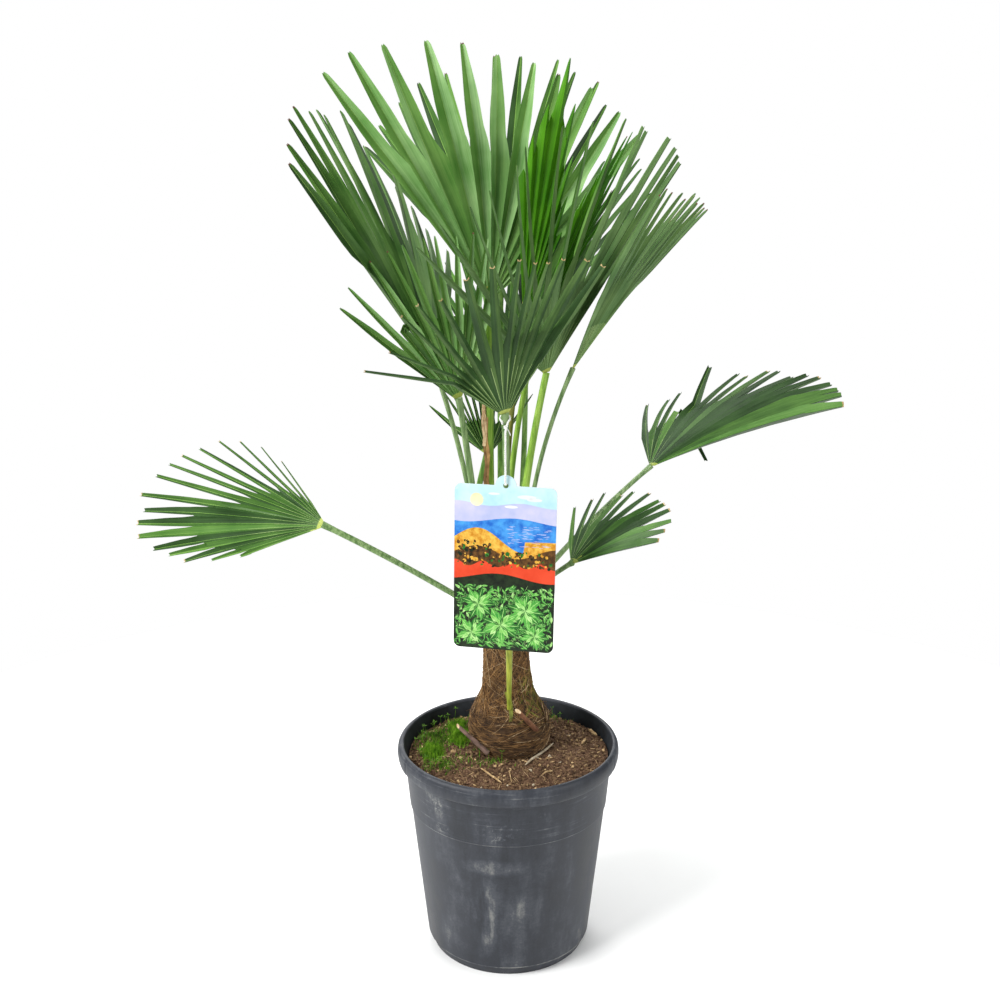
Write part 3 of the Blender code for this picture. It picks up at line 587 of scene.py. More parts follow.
chance = np.random.default_rng(5)
strands = Heap()
STRAND_COUNT = 2700
BASKET_TOP = 0.288
MOSS_BEARING = math.radians(-22)
MOSS_TOP = 0.33
for number in range(STRAND_COUNT):
    height = TRUNK_FOOT[2] + 0.002 + (TRUNK_TOP[2] - TRUNK_FOOT[2] - 0.006) \
        * chance.uniform() ** 1.25
    low_part = height < BASKET_TOP
    bearing = chance.uniform(0, 2 * math.pi)
    if low_part:
        length, slant = chance.uniform(0.02, 0.06), chance.normal(0, 0.20)
    else:
        length = chance.uniform(0.015, 0.05)
        slant = chance.choice((-1, 1)) * chance.normal(0.85, 0.4)
    steps = 9
    along = np.linspace(-0.5, 0.5, steps) * length
    path_b = bearing + along * math.cos(slant) / trunk_radius(height)
    path_h = np.clip(height + along * math.sin(slant) + 0.001 * np.sin(along * 160 + number),
                     TRUNK_FOOT[2] + 0.001, TRUNK_TOP[2])
    lift = chance.uniform(-0.0006, 0.0009)
    # One strand in nine has sprung loose at its ends
    loose = chance.uniform(0.001, 0.006) if number % 9 == 0 else 0.0006
    spring = loose * np.abs(np.linspace(-1, 1, steps)) ** 5
    slot = chance.choice((0, 1, 2, 3), p=(0.46, 0.36, 0.13, 0.05) if low_part
                         else (0.15, 0.37, 0.38, 0.10))
    mossy = math.cos(bearing - MOSS_BEARING) > 0.85 and BASKET_TOP < height < MOSS_TOP
    if mossy and chance.uniform() < 0.5:
        slot = 4
    strand(strands, on_trunk(path_b, path_h, lift + spring), chance.uniform(0.00018, 0.0004), slot)
strands.piece("trunk_strands", FIBRES, "trunk_fibre", (), smooth=60)

# %% [markdown]
# Every frond of this palm is grown by the same rule as its solid: a hub at the stalk's end,
# leaflets spread like a fan, each folded in a V, joined to its neighbours near the hub and
# free beyond. The table holds how each frond stands; all else follows from the rule.

# %% The fronds
HUB_REACH = 0.006
HUB_HALF_WIDTH = 0.0042
LEAFLET_FULLNESS = 0.97
ANGLE_JITTER = 0.10
LENGTH_JITTER = 0.025
SWAY = 3.0
GAP = 0.0003
PETIOLE_BASE_SWELL = 1.35
PETIOLE_FLATNESS = 0.72

COLUMNS = ("name bearing reach height foot_bearing foot_height leave heading rise roll count "
           "spread long short cup arch deep shallow").split()
FROND_ROWS = (
    ("left_low", 180, 0.198, 0.507, 190, 0.402, 36, 161, 5, -45, 17, 78, 0.230, 0.092,
     22, 0.07, 0.40, 0.86),
    ("right_low", 15, 0.161, 0.560, 26, 0.412, 46, 38, 28, -12, 16, 102, 0.205, 0.215,
     3, 0.10, 0.84, 0.34),
    ("right_small", -42, 0.086, 0.4805, -33, 0.420, 42, 30, 32, -4, 12, 104, 0.118, 0.104,
     5, 0.06, 0.80, 0.34),
    ("front", -92, 0.085, 0.648, -88, 0.300, 80, -97, 63, 31, 13, 76, 0.180, 0.180,
     0, 0.05, 0.42, 0.70),
    ("front_left", -141, 0.064, 0.653, 222, 0.380, 85, 190, 75, -70, 12, 70, 0.168, 0.160,
     3, 0.05, 0.50, 0.50),
    ("right_fan", 0, 0.040, 0.672, -68, 0.390, 86, -77, 69, 30, 15, 84, 0.276, 0.259,
     6, 0.05, 0.48, 0.62),
    ("right_tall", 4, 0.066, 0.676, -5, 0.388, 95, -3, 60, -16, 14, 60, 0.214, 0.235,
     5, 0.05, 0.55, 0.55),
    ("left_tall", 195, 0.0786, 0.684, 160, 0.400, 86, 126, 58, 38, 15, 96, 0.300, 0.280,
     0, 0.05, 0.45, 0.45),
    ("tall", 142, 0.024, 0.748, 130, 0.430, 88, 96, 73, 24, 11, 85, 0.270, 0.284,
     6, 0.05, 0.56, 0.56),
    ("tall_back", 94, 0.108, 0.749, 96, 0.425, 84, 108, 55, -25, 12, 72, 0.300, 0.245,
     6, 0.05, 0.50, 0.50),
    ("young_centre", 17, 0.018, 0.740, 90, 0.446, 90, 12, 78, -78, 8, 26, 0.256, 0.150,
     0, 0.0, 0.90, 0.90),
    ("young_right", 15, 0.034, 0.730, -60, 0.446, 90, 10, 64, -45, 8, 20, 0.224, 0.165,
     0, 0.0, 0.84, 0.74),
    ("back_small", 124.9, 0.0384, 0.575, 140, 0.372, 66, 180, 84, -90, 12, 84, 0.088, 0.080,
     3, 0.05, 0.36, 0.50),
    ("back_right", 80, 0.100, 0.700, 60, 0.400, 80, 42, 56, -10, 13, 74, 0.230, 0.190,
     5, 0.05, 0.50, 0.50),
    ("back", 92, 0.135, 0.625, 84, 0.380, 68, 90, 38, 0, 14, 70, 0.230, 0.190,
     5, 0.06, 0.48, 0.48),
)
FRONDS = [dict(zip(COLUMNS, row)) for row in FROND_ROWS]
UNEVEN = {
    "tall": (-46, -38, -30, -22, -14, -6, 3, 13, 24, 32, 39),
    "right_fan": (-42, -36, -31, -25, -20, -13, -5, 2, 10, 17, 22, 27, 32, 37, 42),
    "tall_back": (-41, -35, -28, -22, -15, -9, -2, 4, 10, 17, 23, 30),
    "front": (-39, -35, -31, -25, -19, -10, -1, 6, 11, 16, 21, 29, 37),
    "back_small": (-42, -33, -25, -12, -5, 2, 8, 13, 18, 23, 28, 42),
}
# Leaflets that are shorter than the rule gives: share of the length that is left
TRIM = {
    "young_centre": {0: 0.95, 1: 0.84, 2: 0.88, 4: 0.84, 5: 0.68, 6: 0.60, 7: 0.55},
    "young_right": {0: 0.84, 1: 0.84, 2: 0.86, 3: 0.90, 4: 0.93, 5: 0.84, 6: 0.78, 7: 0.70},
    "left_tall": {8: 0.97, 9: 0.96, 10: 0.95, 12: 0.98, 13: 0.94, 14: 0.93},
    "right_fan": {9: 0.97, 11: 0.97, 12: 0.97, 13: 0.97},
}
STALK_RADIUS = {"right_fan": 0.0046, "tall": 0.0048, "front": 0.0042, "left_low": 0.0040,
                "right_small": 0.0036, "tall_back": 0.0036}
print(len(FRONDS), "fronds,", sum(frond["count"] for frond in FRONDS), "leaflets")


# %% How a fan is turned
def direction(bearing, rise):
    bearing, rise = math.radians(bearing), math.radians(rise)
    return np.array((math.cos(rise) * math.cos(bearing), math.cos(rise) * math.sin(bearing),
                     math.sin(rise)))


def fan_axes(frond):
    """Along the fan's middle, towards its last side, and up out of its upper face."""
    along = direction(frond["heading"], frond["rise"])
    level = direction(frond["heading"] + 90, 0)
    up = np.cross(along, level)
    roll = math.radians(frond["roll"])
    side = level * math.cos(roll) + up * math.sin(roll)
    return along, side, np.cross(along, side)


def hub_of(frond):
    level = direction(frond["bearing"], 0) * frond["reach"]
    return np.array((level[0], level[1], frond["height"]))


def leaflet_plan(frond):
    """Leaflets as (angle, length, sway), fold angles, and how far each fold stays joined."""
    rng = random.Random(sum(ord(letter) for letter in frond["name"]))
    count, spread = frond["count"], frond["spread"]
    trim = TRIM.get(frond["name"], {})
    step = spread / (count - 1)
    even = [k * step - spread / 2 for k in range(count)]
    leaflets = []
    for k, middle in enumerate(UNEVEN.get(frond["name"], even)):
        place = 2 * k / (count - 1) - 1
        angle = math.radians(middle + rng.uniform(-1, 1) * ANGLE_JITTER * step)
        length = frond["long"] + (frond["short"] - frond["long"]) * place * place
        length *= (1 + rng.uniform(-1, 1) * LENGTH_JITTER) * trim.get(k, 1.0)
        leaflets.append((angle, length, math.radians(rng.uniform(-1, 1) * SWAY)))
    angles = [leaflet[0] for leaflet in leaflets]
    half_step = math.radians(step) / 2
    folds = [angles[0] - half_step]
    folds += [(near + far) / 2 for near, far in zip(angles, angles[1:])]
    folds.append(angles[-1] + half_step)
    joins = []
    for k in range(count + 1):
        share = frond["deep"] + (frond["shallow"] - frond["deep"]) * k / count
        shorter = min(leaflets[max(0, k - 1)][1], leaflets[min(count - 1, k)][1])
        joins.append(share * shorter * (1 + rng.uniform(-1, 1) * LENGTH_JITTER))
    return leaflets, folds, joins


# %% [markdown]
# Palm leaflets are stiff and waxy: a satin upper face, and a duller, blue-grey under face.
# Fine veins run along each one. The leaflet's own UV map carries them: u runs across it in
# millimetres and v along it, so the veins stay straight and keep their real spacing.

# %% Leaf materials
VEIN_SPACING_MM = 1.4


def leaf_skin(name, dark, light, roughness=0.44):
    material, tree, shader = new_material(name, roughness, 1.42)
    shader.inputs["Specular IOR Level"].default_value = 0.24
    grain = add_node(tree, "ShaderNodeUVMap", {"uv_map": "grain"}).outputs[0]
    fine = add_node(tree, "ShaderNodeMapping", i0=grain, Scale=(1.0 / VEIN_SPACING_MM, 0.010, 1))
    vein = add_node(tree, "ShaderNodeTexNoise", Vector=fine.outputs[0], Scale=1.0, Detail=2.0)
    place = add_node(tree, "ShaderNodeTexCoord").outputs["Object"]
    cloud = add_node(tree, "ShaderNodeTexNoise", Vector=place, Scale=22.0, Detail=3.0)
    tone = add_node(tree, "ShaderNodeMath", {"operation": "MULTIPLY_ADD"}, i0=vein.outputs[0],
                    i1=0.7, i2=cloud.outputs[0])
    half = add_node(tree, "ShaderNodeMath", {"operation": "MULTIPLY"}, i0=tone.outputs[0],
                    i1=0.588)
    blend_colours(tree, shader, half.outputs[0], ((0.36, dark), (0.64, light)))
    bump = add_node(tree, "ShaderNodeBump", Height=vein.outputs[0], Strength=0.22,
                    Distance=0.0005)
    tree.links.new(bump.outputs[0], shader.inputs["Normal"])
    return material


LEAF_MATERIALS = (
    leaf_skin("leaf_shaded", "#1f3a15", "#3a5a2b"),
    leaf_skin("leaf_deep", "#2d521b", "#4f7532"),
    leaf_skin("leaf_mid", "#3f6d26", "#688f45"),
    leaf_skin("leaf_light", "#55863c", "#8db271"),
    leaf_skin("leaf_fresh", "#2f6a05", "#508f12", 0.36),
    leaf_skin("leaf_under", "#49693a", "#6e8c56", 0.5),
    leaf_skin("leaf_under_deep", "#365226", "#5a7740", 0.5),
    leaf_skin("leaf_yellowed", "#6f7430", "#9a9350", 0.5),
    leaf_skin("leaf_dry_tip", "#8f7443", "#c9b184", 0.7),
    leaf_skin("leaf_dead_brown", "#4c3226", "#7c5b45", 0.7),
    leaf_skin("leaf_hub_yellow", "#8c9c40", "#b9c268", 0.42),
    leaf_skin("leaf_rib_pale", "#7f9f58", "#a6bd7c", 0.42),
    leaf_skin("leaf_rib_green", "#5c8638", "#86aa58", 0.42),
    leaf_skin("leaf_fresh_deep", "#245602", "#427c0a", 0.40),
)
(SHADED, DEEP, MID, LIGHT, FRESH, UNDER, UNDER_DEEP, YELLOWED, DRY, BROWN, HUB, RIB,
 RIB_GREEN, FRESH_DEEP) = range(14)

# %% [markdown]
# One leaflet is a strip of stations from the hub to the tip. Each station has seven points:
# two margins, the middles of both halves, and a narrow pale rib round the fold. Up to the
# join its margins lie on the pleat's ridges, so that neighbours meet; beyond it they widen a
# little and then draw in to the tip. A second layer under the first gives the thickness.

# %% How leaflets are shaped
LEAF_THICKNESS = 0.0006
RIB_HALF_WIDTH = 0.00030
RIB_SHARE = 0.13
HUB_STAIN = 0.005
NEAR_HUB = (0.0, 0.005, 0.012, 0.024)
STATIONS_JOINED = 5
STATIONS_FREE = 9
SQUARE_TIPS = ("front", "left_low", "right_low", "right_small")
BLUNT_FROM = {"right_fan": 9}
# Frond and leaflet: share of the free part where it bends, turn in the fan's plane, length
# left over, and how far it drops out of the plane
BENT = {
    ("front", 0): (0.10, -20, 1.0, 0),
    ("front", 1): (0.15, -13, 0.85, 0),
    ("front_left", 9): (0.16, -122, 1.2, 0),
    ("right_low", 12): (0.34, -20, 0.9, 140),
    ("right_low", 11): (0.30, 6, 1.12, -12),
}


def table(rows):
    """Rows of a fan, its first and last leaflet (or fold) and a value, as a look-up table."""
    return {(name, k): value for name, first, last, value in rows for k in range(first, last + 1)}


# Leaflets that turn on their own axis beyond the join, in degrees
TURNED = table((("left_tall", 11, 11, -30), ("left_tall", 12, 12, -42), ("left_tall", 13, 14, -50),
                ("right_low", 11, 11, 60), ("right_fan", 2, 8, 50), ("right_fan", 9, 14, -12)))
# How far the leaflets of a fan turn beyond the join to open towards the front: 1 is fully
FRONT = unit(np.array((0.1, -0.95, 0.3)))
FACING = {"tall": 0.85, "front": 0.5, "front_left": 0.4, "right_tall": 0.6, "tall_back": 0.4,
          "back_small": 0.8}
# Leaflets that are slimmer or broader beyond the join than the rule gives: share of the width
BREADTH = table((("tall", 0, 10, 0.86), ("young_centre", 0, 7, 1.3), ("young_right", 0, 7, 1.3),
                 ("right_fan", 9, 14, 1.45), ("right_tall", 0, 13, 1.35),
                 ("left_tall", 0, 8, 1.2)))
# Folds that open at another distance from the hub than the rule gives: share of that distance
OPENED = table((("right_fan", 0, 15, 0.60), ("left_low", 0, 8, 0.72), ("right_tall", 0, 14, 0.75),
                ("front", 0, 13, 0.80), ("young_centre", 0, 8, 1.05)))
# Slope of a leaflet's halves before and beyond the join, its width there, and the share of
# the free part over which it changes
JOINED_FOLD = 40
FREE_FOLD = 38
FREE_WIDTH = 0.80
FOLDED_AT = 0.3
# Before the tip: distance, and share of the width, for pointed and for square tips
POINTED_END = ((0.0042, 1.0), (0.0014, 0.80), (0.0, 0.45))
SQUARE_END = ((0.0030, 1.0), (0.0010, 0.98), (0.0, 0.90))
END_REACH = 0.009
SHORT_LEAFLET = 0.02
MOST_TURN = 70
PALE_RIB_REACH = 0.055
TIP_NOTCH = 0.0007
# For each fan: tones of the upper face and how often each is dealt, and the under face
PALETTE = {
    "left_low": ((DEEP, SHADED, MID), (0.5, 0.2, 0.3), UNDER_DEEP),
    "right_low": ((DEEP, SHADED, MID), (0.5, 0.4, 0.1), UNDER_DEEP),
    "right_small": ((SHADED, DEEP, MID), (0.35, 0.4, 0.25), UNDER_DEEP),
    "front": ((DEEP, MID), (0.6, 0.4), UNDER_DEEP),
    "front_left": ((LIGHT, MID), (0.4, 0.6), UNDER),
    "right_fan": ((MID, DEEP), (0.6, 0.4), UNDER),
    "right_tall": ((MID, DEEP, YELLOWED), (0.55, 0.2, 0.25), UNDER),
    "left_tall": ((MID, DEEP), (0.7, 0.3), UNDER),
    "tall": ((LIGHT, MID), (0.8, 0.2), UNDER),
    "tall_back": ((DEEP, MID), (0.7, 0.3), UNDER_DEEP),
    "young_centre": ((FRESH,), (1.0,), FRESH),
    "young_right": ((FRESH,), (1.0,), FRESH),
    "back_small": ((SHADED, DEEP), (0.5, 0.5), UNDER_DEEP),
    "back_right": ((DEEP, MID), (0.5, 0.5), UNDER),
    "back": ((DEEP, MID, LIGHT), (0.4, 0.4, 0.2), UNDER),
}
# Painted shade: one half of each leaflet, picked by chance, takes the tone one step darker in this
# map, standing for the half that lies further from the light
PAINTED_SHADE_TONE = {LIGHT: MID, MID: DEEP, DEEP: SHADED, SHADED: SHADED, YELLOWED: MID, FRESH: FRESH_DEEP,
          UNDER: UNDER_DEEP, UNDER_DEEP: SHADED}
# How often a leaflet's tip is dead, by fan
DEAD_TIPS = {"front": 1.0, "right_tall": 0.7, "left_low": 0.5, "right_low": 0.5,
             "left_tall": 0.3, "right_small": 0.6, "young_centre": 0.0, "young_right": 0.3}


def rotated(vector, axis, degrees):
    turn = Matrix.Rotation(math.radians(degrees), 3, Vector(axis))
    return np.array(turn @ Vector(vector))


def width_along(t, square, young):
    """A leaflet's width beyond its join, as a share of its full width; t runs to the tip."""
    if young:
        return 1.0 - 0.86 * t
    if square:
        return 1.0 + 0.10 * math.sin(math.pi * min(1.0, t / 0.7)) - 0.40 * t ** 2.2
    swell = 1.0 + 0.14 * math.sin(math.pi * min(1.0, t / 0.75))
    return swell * (1.0 - 0.66 * max(0.0, (t - 0.22) / 0.78) ** 2.0)


# %% Grow one fan
def grow_fan(frond):
    name = frond["name"]
    hub = hub_of(frond)
    along, side, up = fan_axes(frond)
    leaflets, folds, joins = leaflet_plan(frond)
    joins = [join * OPENED.get((name, k), 1.0) for k, join in enumerate(joins)]
    widest = max(abs(folds[0]), abs(folds[-1]))
    cup = math.tan(math.radians(frond["cup"]))
    half_step = math.radians(frond["spread"] / (frond["count"] - 1)) / 2
    tones, weights, under = PALETTE[name]
    young = name.startswith("young")
    draw = np.random.default_rng(len(name) * 7 + frond["count"])

    def ray(angle):
        return unit(along * math.cos(angle) + side * math.sin(angle)
                    + up * (math.sin(angle) ** 2 * cup))

    def base(angle):
        return hub + along * HUB_REACH + side * (HUB_HALF_WIDTH * angle / widest)

    def fan_point(angle, reach):
        return base(angle) + ray(angle) * reach - up * (frond["arch"] * reach ** 2 / frond["long"])

    def ridge_point(k, share):
        end = fan_point(folds[k], joins[k])
        end = end + up * (joins[k] * half_step * math.tan(math.radians(JOINED_FOLD)))
        start = base(folds[k])
        bow = frond["arch"] * joins[k] ** 2 / frond["long"] * (share - share ** 2)
        return start + (end - start) * share + up * bow

    heap = Heap()
    for k, (angle, length, sway) in enumerate(leaflets):
        square = name in SQUARE_TIPS or k >= BLUNT_FROM.get(name, len(leaflets))
        forward = ray(angle)
        across = unit(np.cross(up, forward))
        join = (joins[k] + joins[k + 1]) / 2
        full = LEAFLET_FULLNESS * min(joins[k] * (angle - folds[k]),
                                      joins[k + 1] * (folds[k + 1] - angle))
        bend_share, turn, left_over, drop = BENT.get((name, k), (0.55, 0, 1.0, 0))
        length = join + (length - join) * left_over
        elbow = join + (length - join) * bend_share
        bent = turn != 0 or drop != 0
        onward = rotated(rotated(forward, up, turn), across, drop)
        rows = []
        shares = [reach / join for reach in NEAR_HUB]
        shares += list(np.linspace(shares[-1], 1, STATIONS_JOINED)[1:])
        for share in shares:
            rows.append((ridge_point(k, share), fan_point(angle, join * share),
                         ridge_point(k + 1, share), join * share, up))
        # Three close stations draw the margins in at the tip, closer still on a short leaflet
        free = length - join
        close = min(1.0, free / SHORT_LEAFLET)
        last = 1 - END_REACH * close / free
        stops = [(t, 1.0) for t in np.linspace(0, last, STATIONS_FREE)[1:]]
        stops += [(1 - gap * close / free, narrow)
                  for gap, narrow in (SQUARE_END if square else POINTED_END)]
        if bent:
            stops = sorted(stops + [(bend_share - 0.012, 1.0), (bend_share + 0.02, 1.0)])
        twist = draw.normal(0, 5)
        opening = np.cross(forward, across)
        wanted = FRONT if up @ FRONT > 0 else -FRONT
        wanted = unit(wanted - forward * (wanted @ forward))
        to_front = math.degrees(math.atan2(forward @ np.cross(opening, wanted), opening @ wanted))
        to_front = max(-MOST_TURN, min(MOST_TURN, to_front))
        own_turn = FACING.get(name, 0) * to_front + TURNED.get((name, k), 0)
        breadth = BREADTH.get((name, k), 1.0)
        curl = draw.normal(0, 0.10)
        for t, narrow in stops:
            reach = join + free * t
            if reach <= elbow or not bent:
                centre, heading = fan_point(angle, reach), forward
            else:
                centre = fan_point(angle, elbow) + onward * (reach - elbow)
                centre = centre - up * (frond["arch"] * (reach ** 2 - elbow ** 2) / frond["long"])
                heading = onward
            past = reach - join
            centre = centre + up * (math.tan(sway) * past) + across * (curl * past ** 2)
            easing = min(1.0, t / FOLDED_AT)
            easing = easing * easing * (3 - 2 * easing)
            fold = math.radians(JOINED_FOLD + (FREE_FOLD - JOINED_FOLD) * easing)
            slant = full * width_along(t, square, young) * narrow
            slant /= math.cos(math.radians(JOINED_FOLD))
            slant *= 1 + (breadth * FREE_WIDTH - 1) * easing
            width = slant * math.cos(fold)
            base_lean = across if heading is forward else rotated(across, up, turn)
            lean = rotated(base_lean, heading, twist * t + own_turn * easing)
            stand = np.cross(heading, lean)
            lift = stand * (slant * math.sin(fold))
            notch = heading * (TIP_NOTCH if t == 1.0 else 0.0)
            rows.append((centre - lean * width + lift + notch, centre - notch,
                         centre + lean * width + lift + notch, reach, stand))
        grid, lower, grain = [], [], []
        for left, middle, right, reach, stand in rows:
            half = max(1e-6, np.linalg.norm(right - left) / 2)
            rib = min(RIB_HALF_WIDTH / half, RIB_SHARE)
            bulge = stand * (half * 0.05)
            station = [left, (left + middle) / 2 - bulge, middle + (left - middle) * rib, middle,
                       middle + (right - middle) * rib, (middle + right) / 2 - bulge, right]
            grid += station
            lower += [point - stand * LEAF_THICKNESS for point in station]
            grain += [(k * 40 + half * 1000 * s, reach * 1000)
                      for s in (-1, -0.5, -rib, 0, rib, 0.5, 1)]
        count = len(rows)
        below = count * 7
        tone = int(draw.choice(tones, p=weights))
        # Which half of this leaflet gets the painted shade, picked by chance
        painted_shade_half = draw.choice((0, 1), p=(0.35, 0.65))
        dead = draw.uniform() < DEAD_TIPS.get(name, 0.12)
        faces, slots = [], []
        for row in range(count - 1):
            reach = rows[row][3]
            for col in range(6):
                rib = col in (2, 3)
                if reach < HUB_STAIN:
                    top_slot = under_slot = HUB
                elif row >= count - 2 and dead:
                    top_slot = under_slot = DRY if square else BROWN
                else:
                    rib_slot = RIB_GREEN if tone == FRESH or reach > PALE_RIB_REACH else RIB
                    # The painted-shade half takes the darker tone, on the upper and the under face
                    dark = (col > 2) == painted_shade_half
                    top_slot = rib_slot if rib else PAINTED_SHADE_TONE[tone] if dark else tone
                    under_slot = PAINTED_SHADE_TONE[under] if dark else under
                    under_slot = rib_slot if rib and reach < PALE_RIB_REACH else under_slot
                a = row * 7 + col
                faces.append((a, a + 1, a + 8, a + 7))
                faces.append((below + a, below + a + 7, below + a + 8, below + a + 1))
                slots += [top_slot, under_slot]
            a, b = row * 7, row * 7 + 6
            faces.append((a, a + 7, below + a + 7, below + a))
            faces.append((b, below + b, below + b + 7, b + 7))
            slots += [slots[-12], slots[-2]]
        final = (count - 1) * 7
        for col in range(6):
            faces.append((col, below + col, below + col + 1, col + 1))
            faces.append((final + col, final + col + 1, below + final + col + 1,
                          below + final + col))
            slots += [HUB, slots[-1]]
        heap.add(grid + lower, faces, slots, grain + grain)
    heap.piece("fan_" + name, LEAF_MATERIALS, "young_leaf_green" if young else "leaf_green",
               ("blade_" + name,), smooth=30)


for frond in FRONDS:
    grow_fan(frond)

# %% [markdown]
# A stalk runs in one sweep from the trunk to its fan. Its section is a flattened oval, wider
# at the foot. The rings of corners follow a curve of three points, as the solid's do.

# %% Stalk route
def nearest_gap(point):
    facet = math.pi / 20
    offset = point[:2] - trunk_axis(point[2])
    from_corner = math.atan2(offset[1], offset[0]) % (2 * facet)
    return (math.hypot(*offset)
            - trunk_radius(point[2]) * math.cos(facet) / math.cos(from_corner - facet))


def seated(start, outward, across, along, width, depth):
    up = np.cross(along, across)
    for _ in range(6):
        gap = min(nearest_gap(start + across * (width * math.cos(math.pi * k / 4))
                              + up * (depth * math.sin(math.pi * k / 4))) for k in range(8))
        start = start - outward * (gap - GAP)
    return start


def stalk_route(frond):
    radius = STALK_RADIUS.get(frond["name"], 0.0038)
    width = radius * PETIOLE_BASE_SWELL
    outward = direction(frond["foot_bearing"], 0)
    leave = direction(frond["foot_bearing"], frond["leave"])
    if frond["foot_height"] > TRUNK_TOP[2]:
        start = TRUNK_TOP + outward * (radius * 1.6) + np.array((0, 0, GAP))
    else:
        height = frond["foot_height"]
        centre = trunk_axis(height)
        start = np.array((centre[0], centre[1], height)) + outward * trunk_radius(height)
        start = seated(start, outward, np.cross(outward, (0, 0, 1.0)), leave, width,
                       width * PETIOLE_FLATNESS)
    end = hub_of(frond) + fan_axes(frond)[0] * (HUB_REACH - GAP)
    middle = start + leave * (np.linalg.norm(end - start) * 0.5)
    return start, middle, end


# %% Stalk green
def stalk_skin(name, dark, light):
    material, tree, shader = new_material(name, 0.36, 1.42)
    place = add_node(tree, "ShaderNodeTexCoord").outputs["Object"]
    tall = add_node(tree, "ShaderNodeMapping", i0=place, Scale=(300, 300, 30))
    streak = add_node(tree, "ShaderNodeTexNoise", Vector=tall.outputs[0], Scale=1.0, Detail=3.0)
    blend_colours(tree, shader, streak.outputs[0], ((0.35, dark), (0.65, light)))
    bump = add_node(tree, "ShaderNodeBump", Height=streak.outputs[0], Strength=0.15,
                    Distance=0.0005)
    tree.links.new(bump.outputs[0], shader.inputs["Normal"])
    return material


STALK_MATERIALS = (stalk_skin("stalk_green_mid", "#4d7330", "#769a4c"),
                   stalk_skin("stalk_green_bright", "#66902a", "#97b952"),
                   stalk_skin("stalk_green_grey", "#526f3e", "#839c68"),
                   stalk_skin("stalk_olive", "#646a2c", "#918f48"),
                   stalk_skin("stalk_foot_yellow", "#76832a", "#a3a83c"),
                   FIBRE_BROWN, FIBRE_ORANGE)
STALK_TONE = {"tall": 1, "right_fan": 1, "front": 2, "young_centre": 3, "young_right": 1,
              "left_low": 2, "right_tall": 2, "left_tall": 2, "front_left": 2, "right_low": 2,
              "right_small": 2}
# The front stalk rises out of the fibre: it is slim and yellow-green low down
SLIM_FOOT = {"front": 0.55}
YELLOW_FOOT = {"front": 0.42}

# %% Make the stalks
STALK_SIDES = 14
STALK_RINGS = 28


def make_stalk(frond):
    radius = STALK_RADIUS.get(frond["name"], 0.0038)
    start, middle, end = stalk_route(frond)
    along, side, _ = fan_axes(frond)
    across_foot = np.cross(direction(frond["foot_bearing"], 0), (0, 0, -1.0))
    if across_foot @ side < 0:
        across_foot = -across_foot
    heap = Heap()
    rings = []
    turn = np.arange(STALK_SIDES) * 2 * math.pi / STALK_SIDES
    for k in range(STALK_RINGS):
        t = k / (STALK_RINGS - 1)
        centre = start * (1 - t) ** 2 + middle * (2 * t * (1 - t)) + end * t ** 2
        tangent = unit((middle - start) * (1 - t) + (end - middle) * t)
        across = across_foot * (1 - t) + side * t
        across = unit(across - tangent * (across @ tangent))
        up = np.cross(tangent, across)
        swell = 1 + (PETIOLE_BASE_SWELL - 1) * (1 - t) ** 4
        if frond["name"] in SLIM_FOOT:
            slim = SLIM_FOOT[frond["name"]]
            swell = slim + (1 - slim) * min(1.0, t / 0.25)
        width = radius * swell * (1 - 0.12 * t)
        width += (HUB_HALF_WIDTH - width) * max(0.0, (t - 0.93) / 0.07)
        depth = width * PETIOLE_FLATNESS
        groove = 1 - 0.28 * np.exp(-((turn - math.pi / 2) / 0.45) ** 2)
        rings.append(centre + np.outer(width * np.cos(turn), across)
                     + np.outer(depth * np.sin(turn) * groove, up))
    tone = STALK_TONE.get(frond["name"], 0)
    yellow = YELLOW_FOOT.get(frond["name"], 0) * STALK_RINGS
    slots = []
    for ring in range(STALK_RINGS - 1):
        slots += [4 if ring < yellow else 5 if ring < 2 else tone] * STALK_SIDES
    faces = tube_faces(STALK_RINGS, STALK_SIDES) + end_faces(STALK_RINGS, STALK_SIDES)
    heap.add(np.concatenate(rings), faces, slots + [5, tone])
    heap.piece("stalk_" + frond["name"], STALK_MATERIALS, "stalk_green",
               ("petiole_" + frond["name"],), smooth=50)


for frond in FRONDS:
    make_stalk(frond)

# %% [markdown]
# A cut stalk dries to a red-brown, ridged stub with a pale cut face. Each is a lofted oval
# with ridges along it, and its end is closed with a slightly sunken ring.

# %% Stubs of old stalks
DRY_MATERIALS = (fibre("dry_stalk_brown", "#5b3a29", "#96684a"),
                 fibre("cut_stalk_pale", "#b89a74", "#e0cba6"),
                 fibre("dry_sheath_grey", "#4b3c36", "#83695c"))
# Name, bearing and height where it leaves the trunk, end, radius at both ends, and tone
STUBS = (
    ("stub_right", -50, 0.2745, (0.0108, -0.045, 0.306), 0.0036, 0.0030, 0),
    ("stub_left", 240, 0.2475, (-0.0566, -0.020, 0.276), 0.0038, 0.0025, 2),
)
STUB_SIDES = 20
CUT_SLANT = 0.9


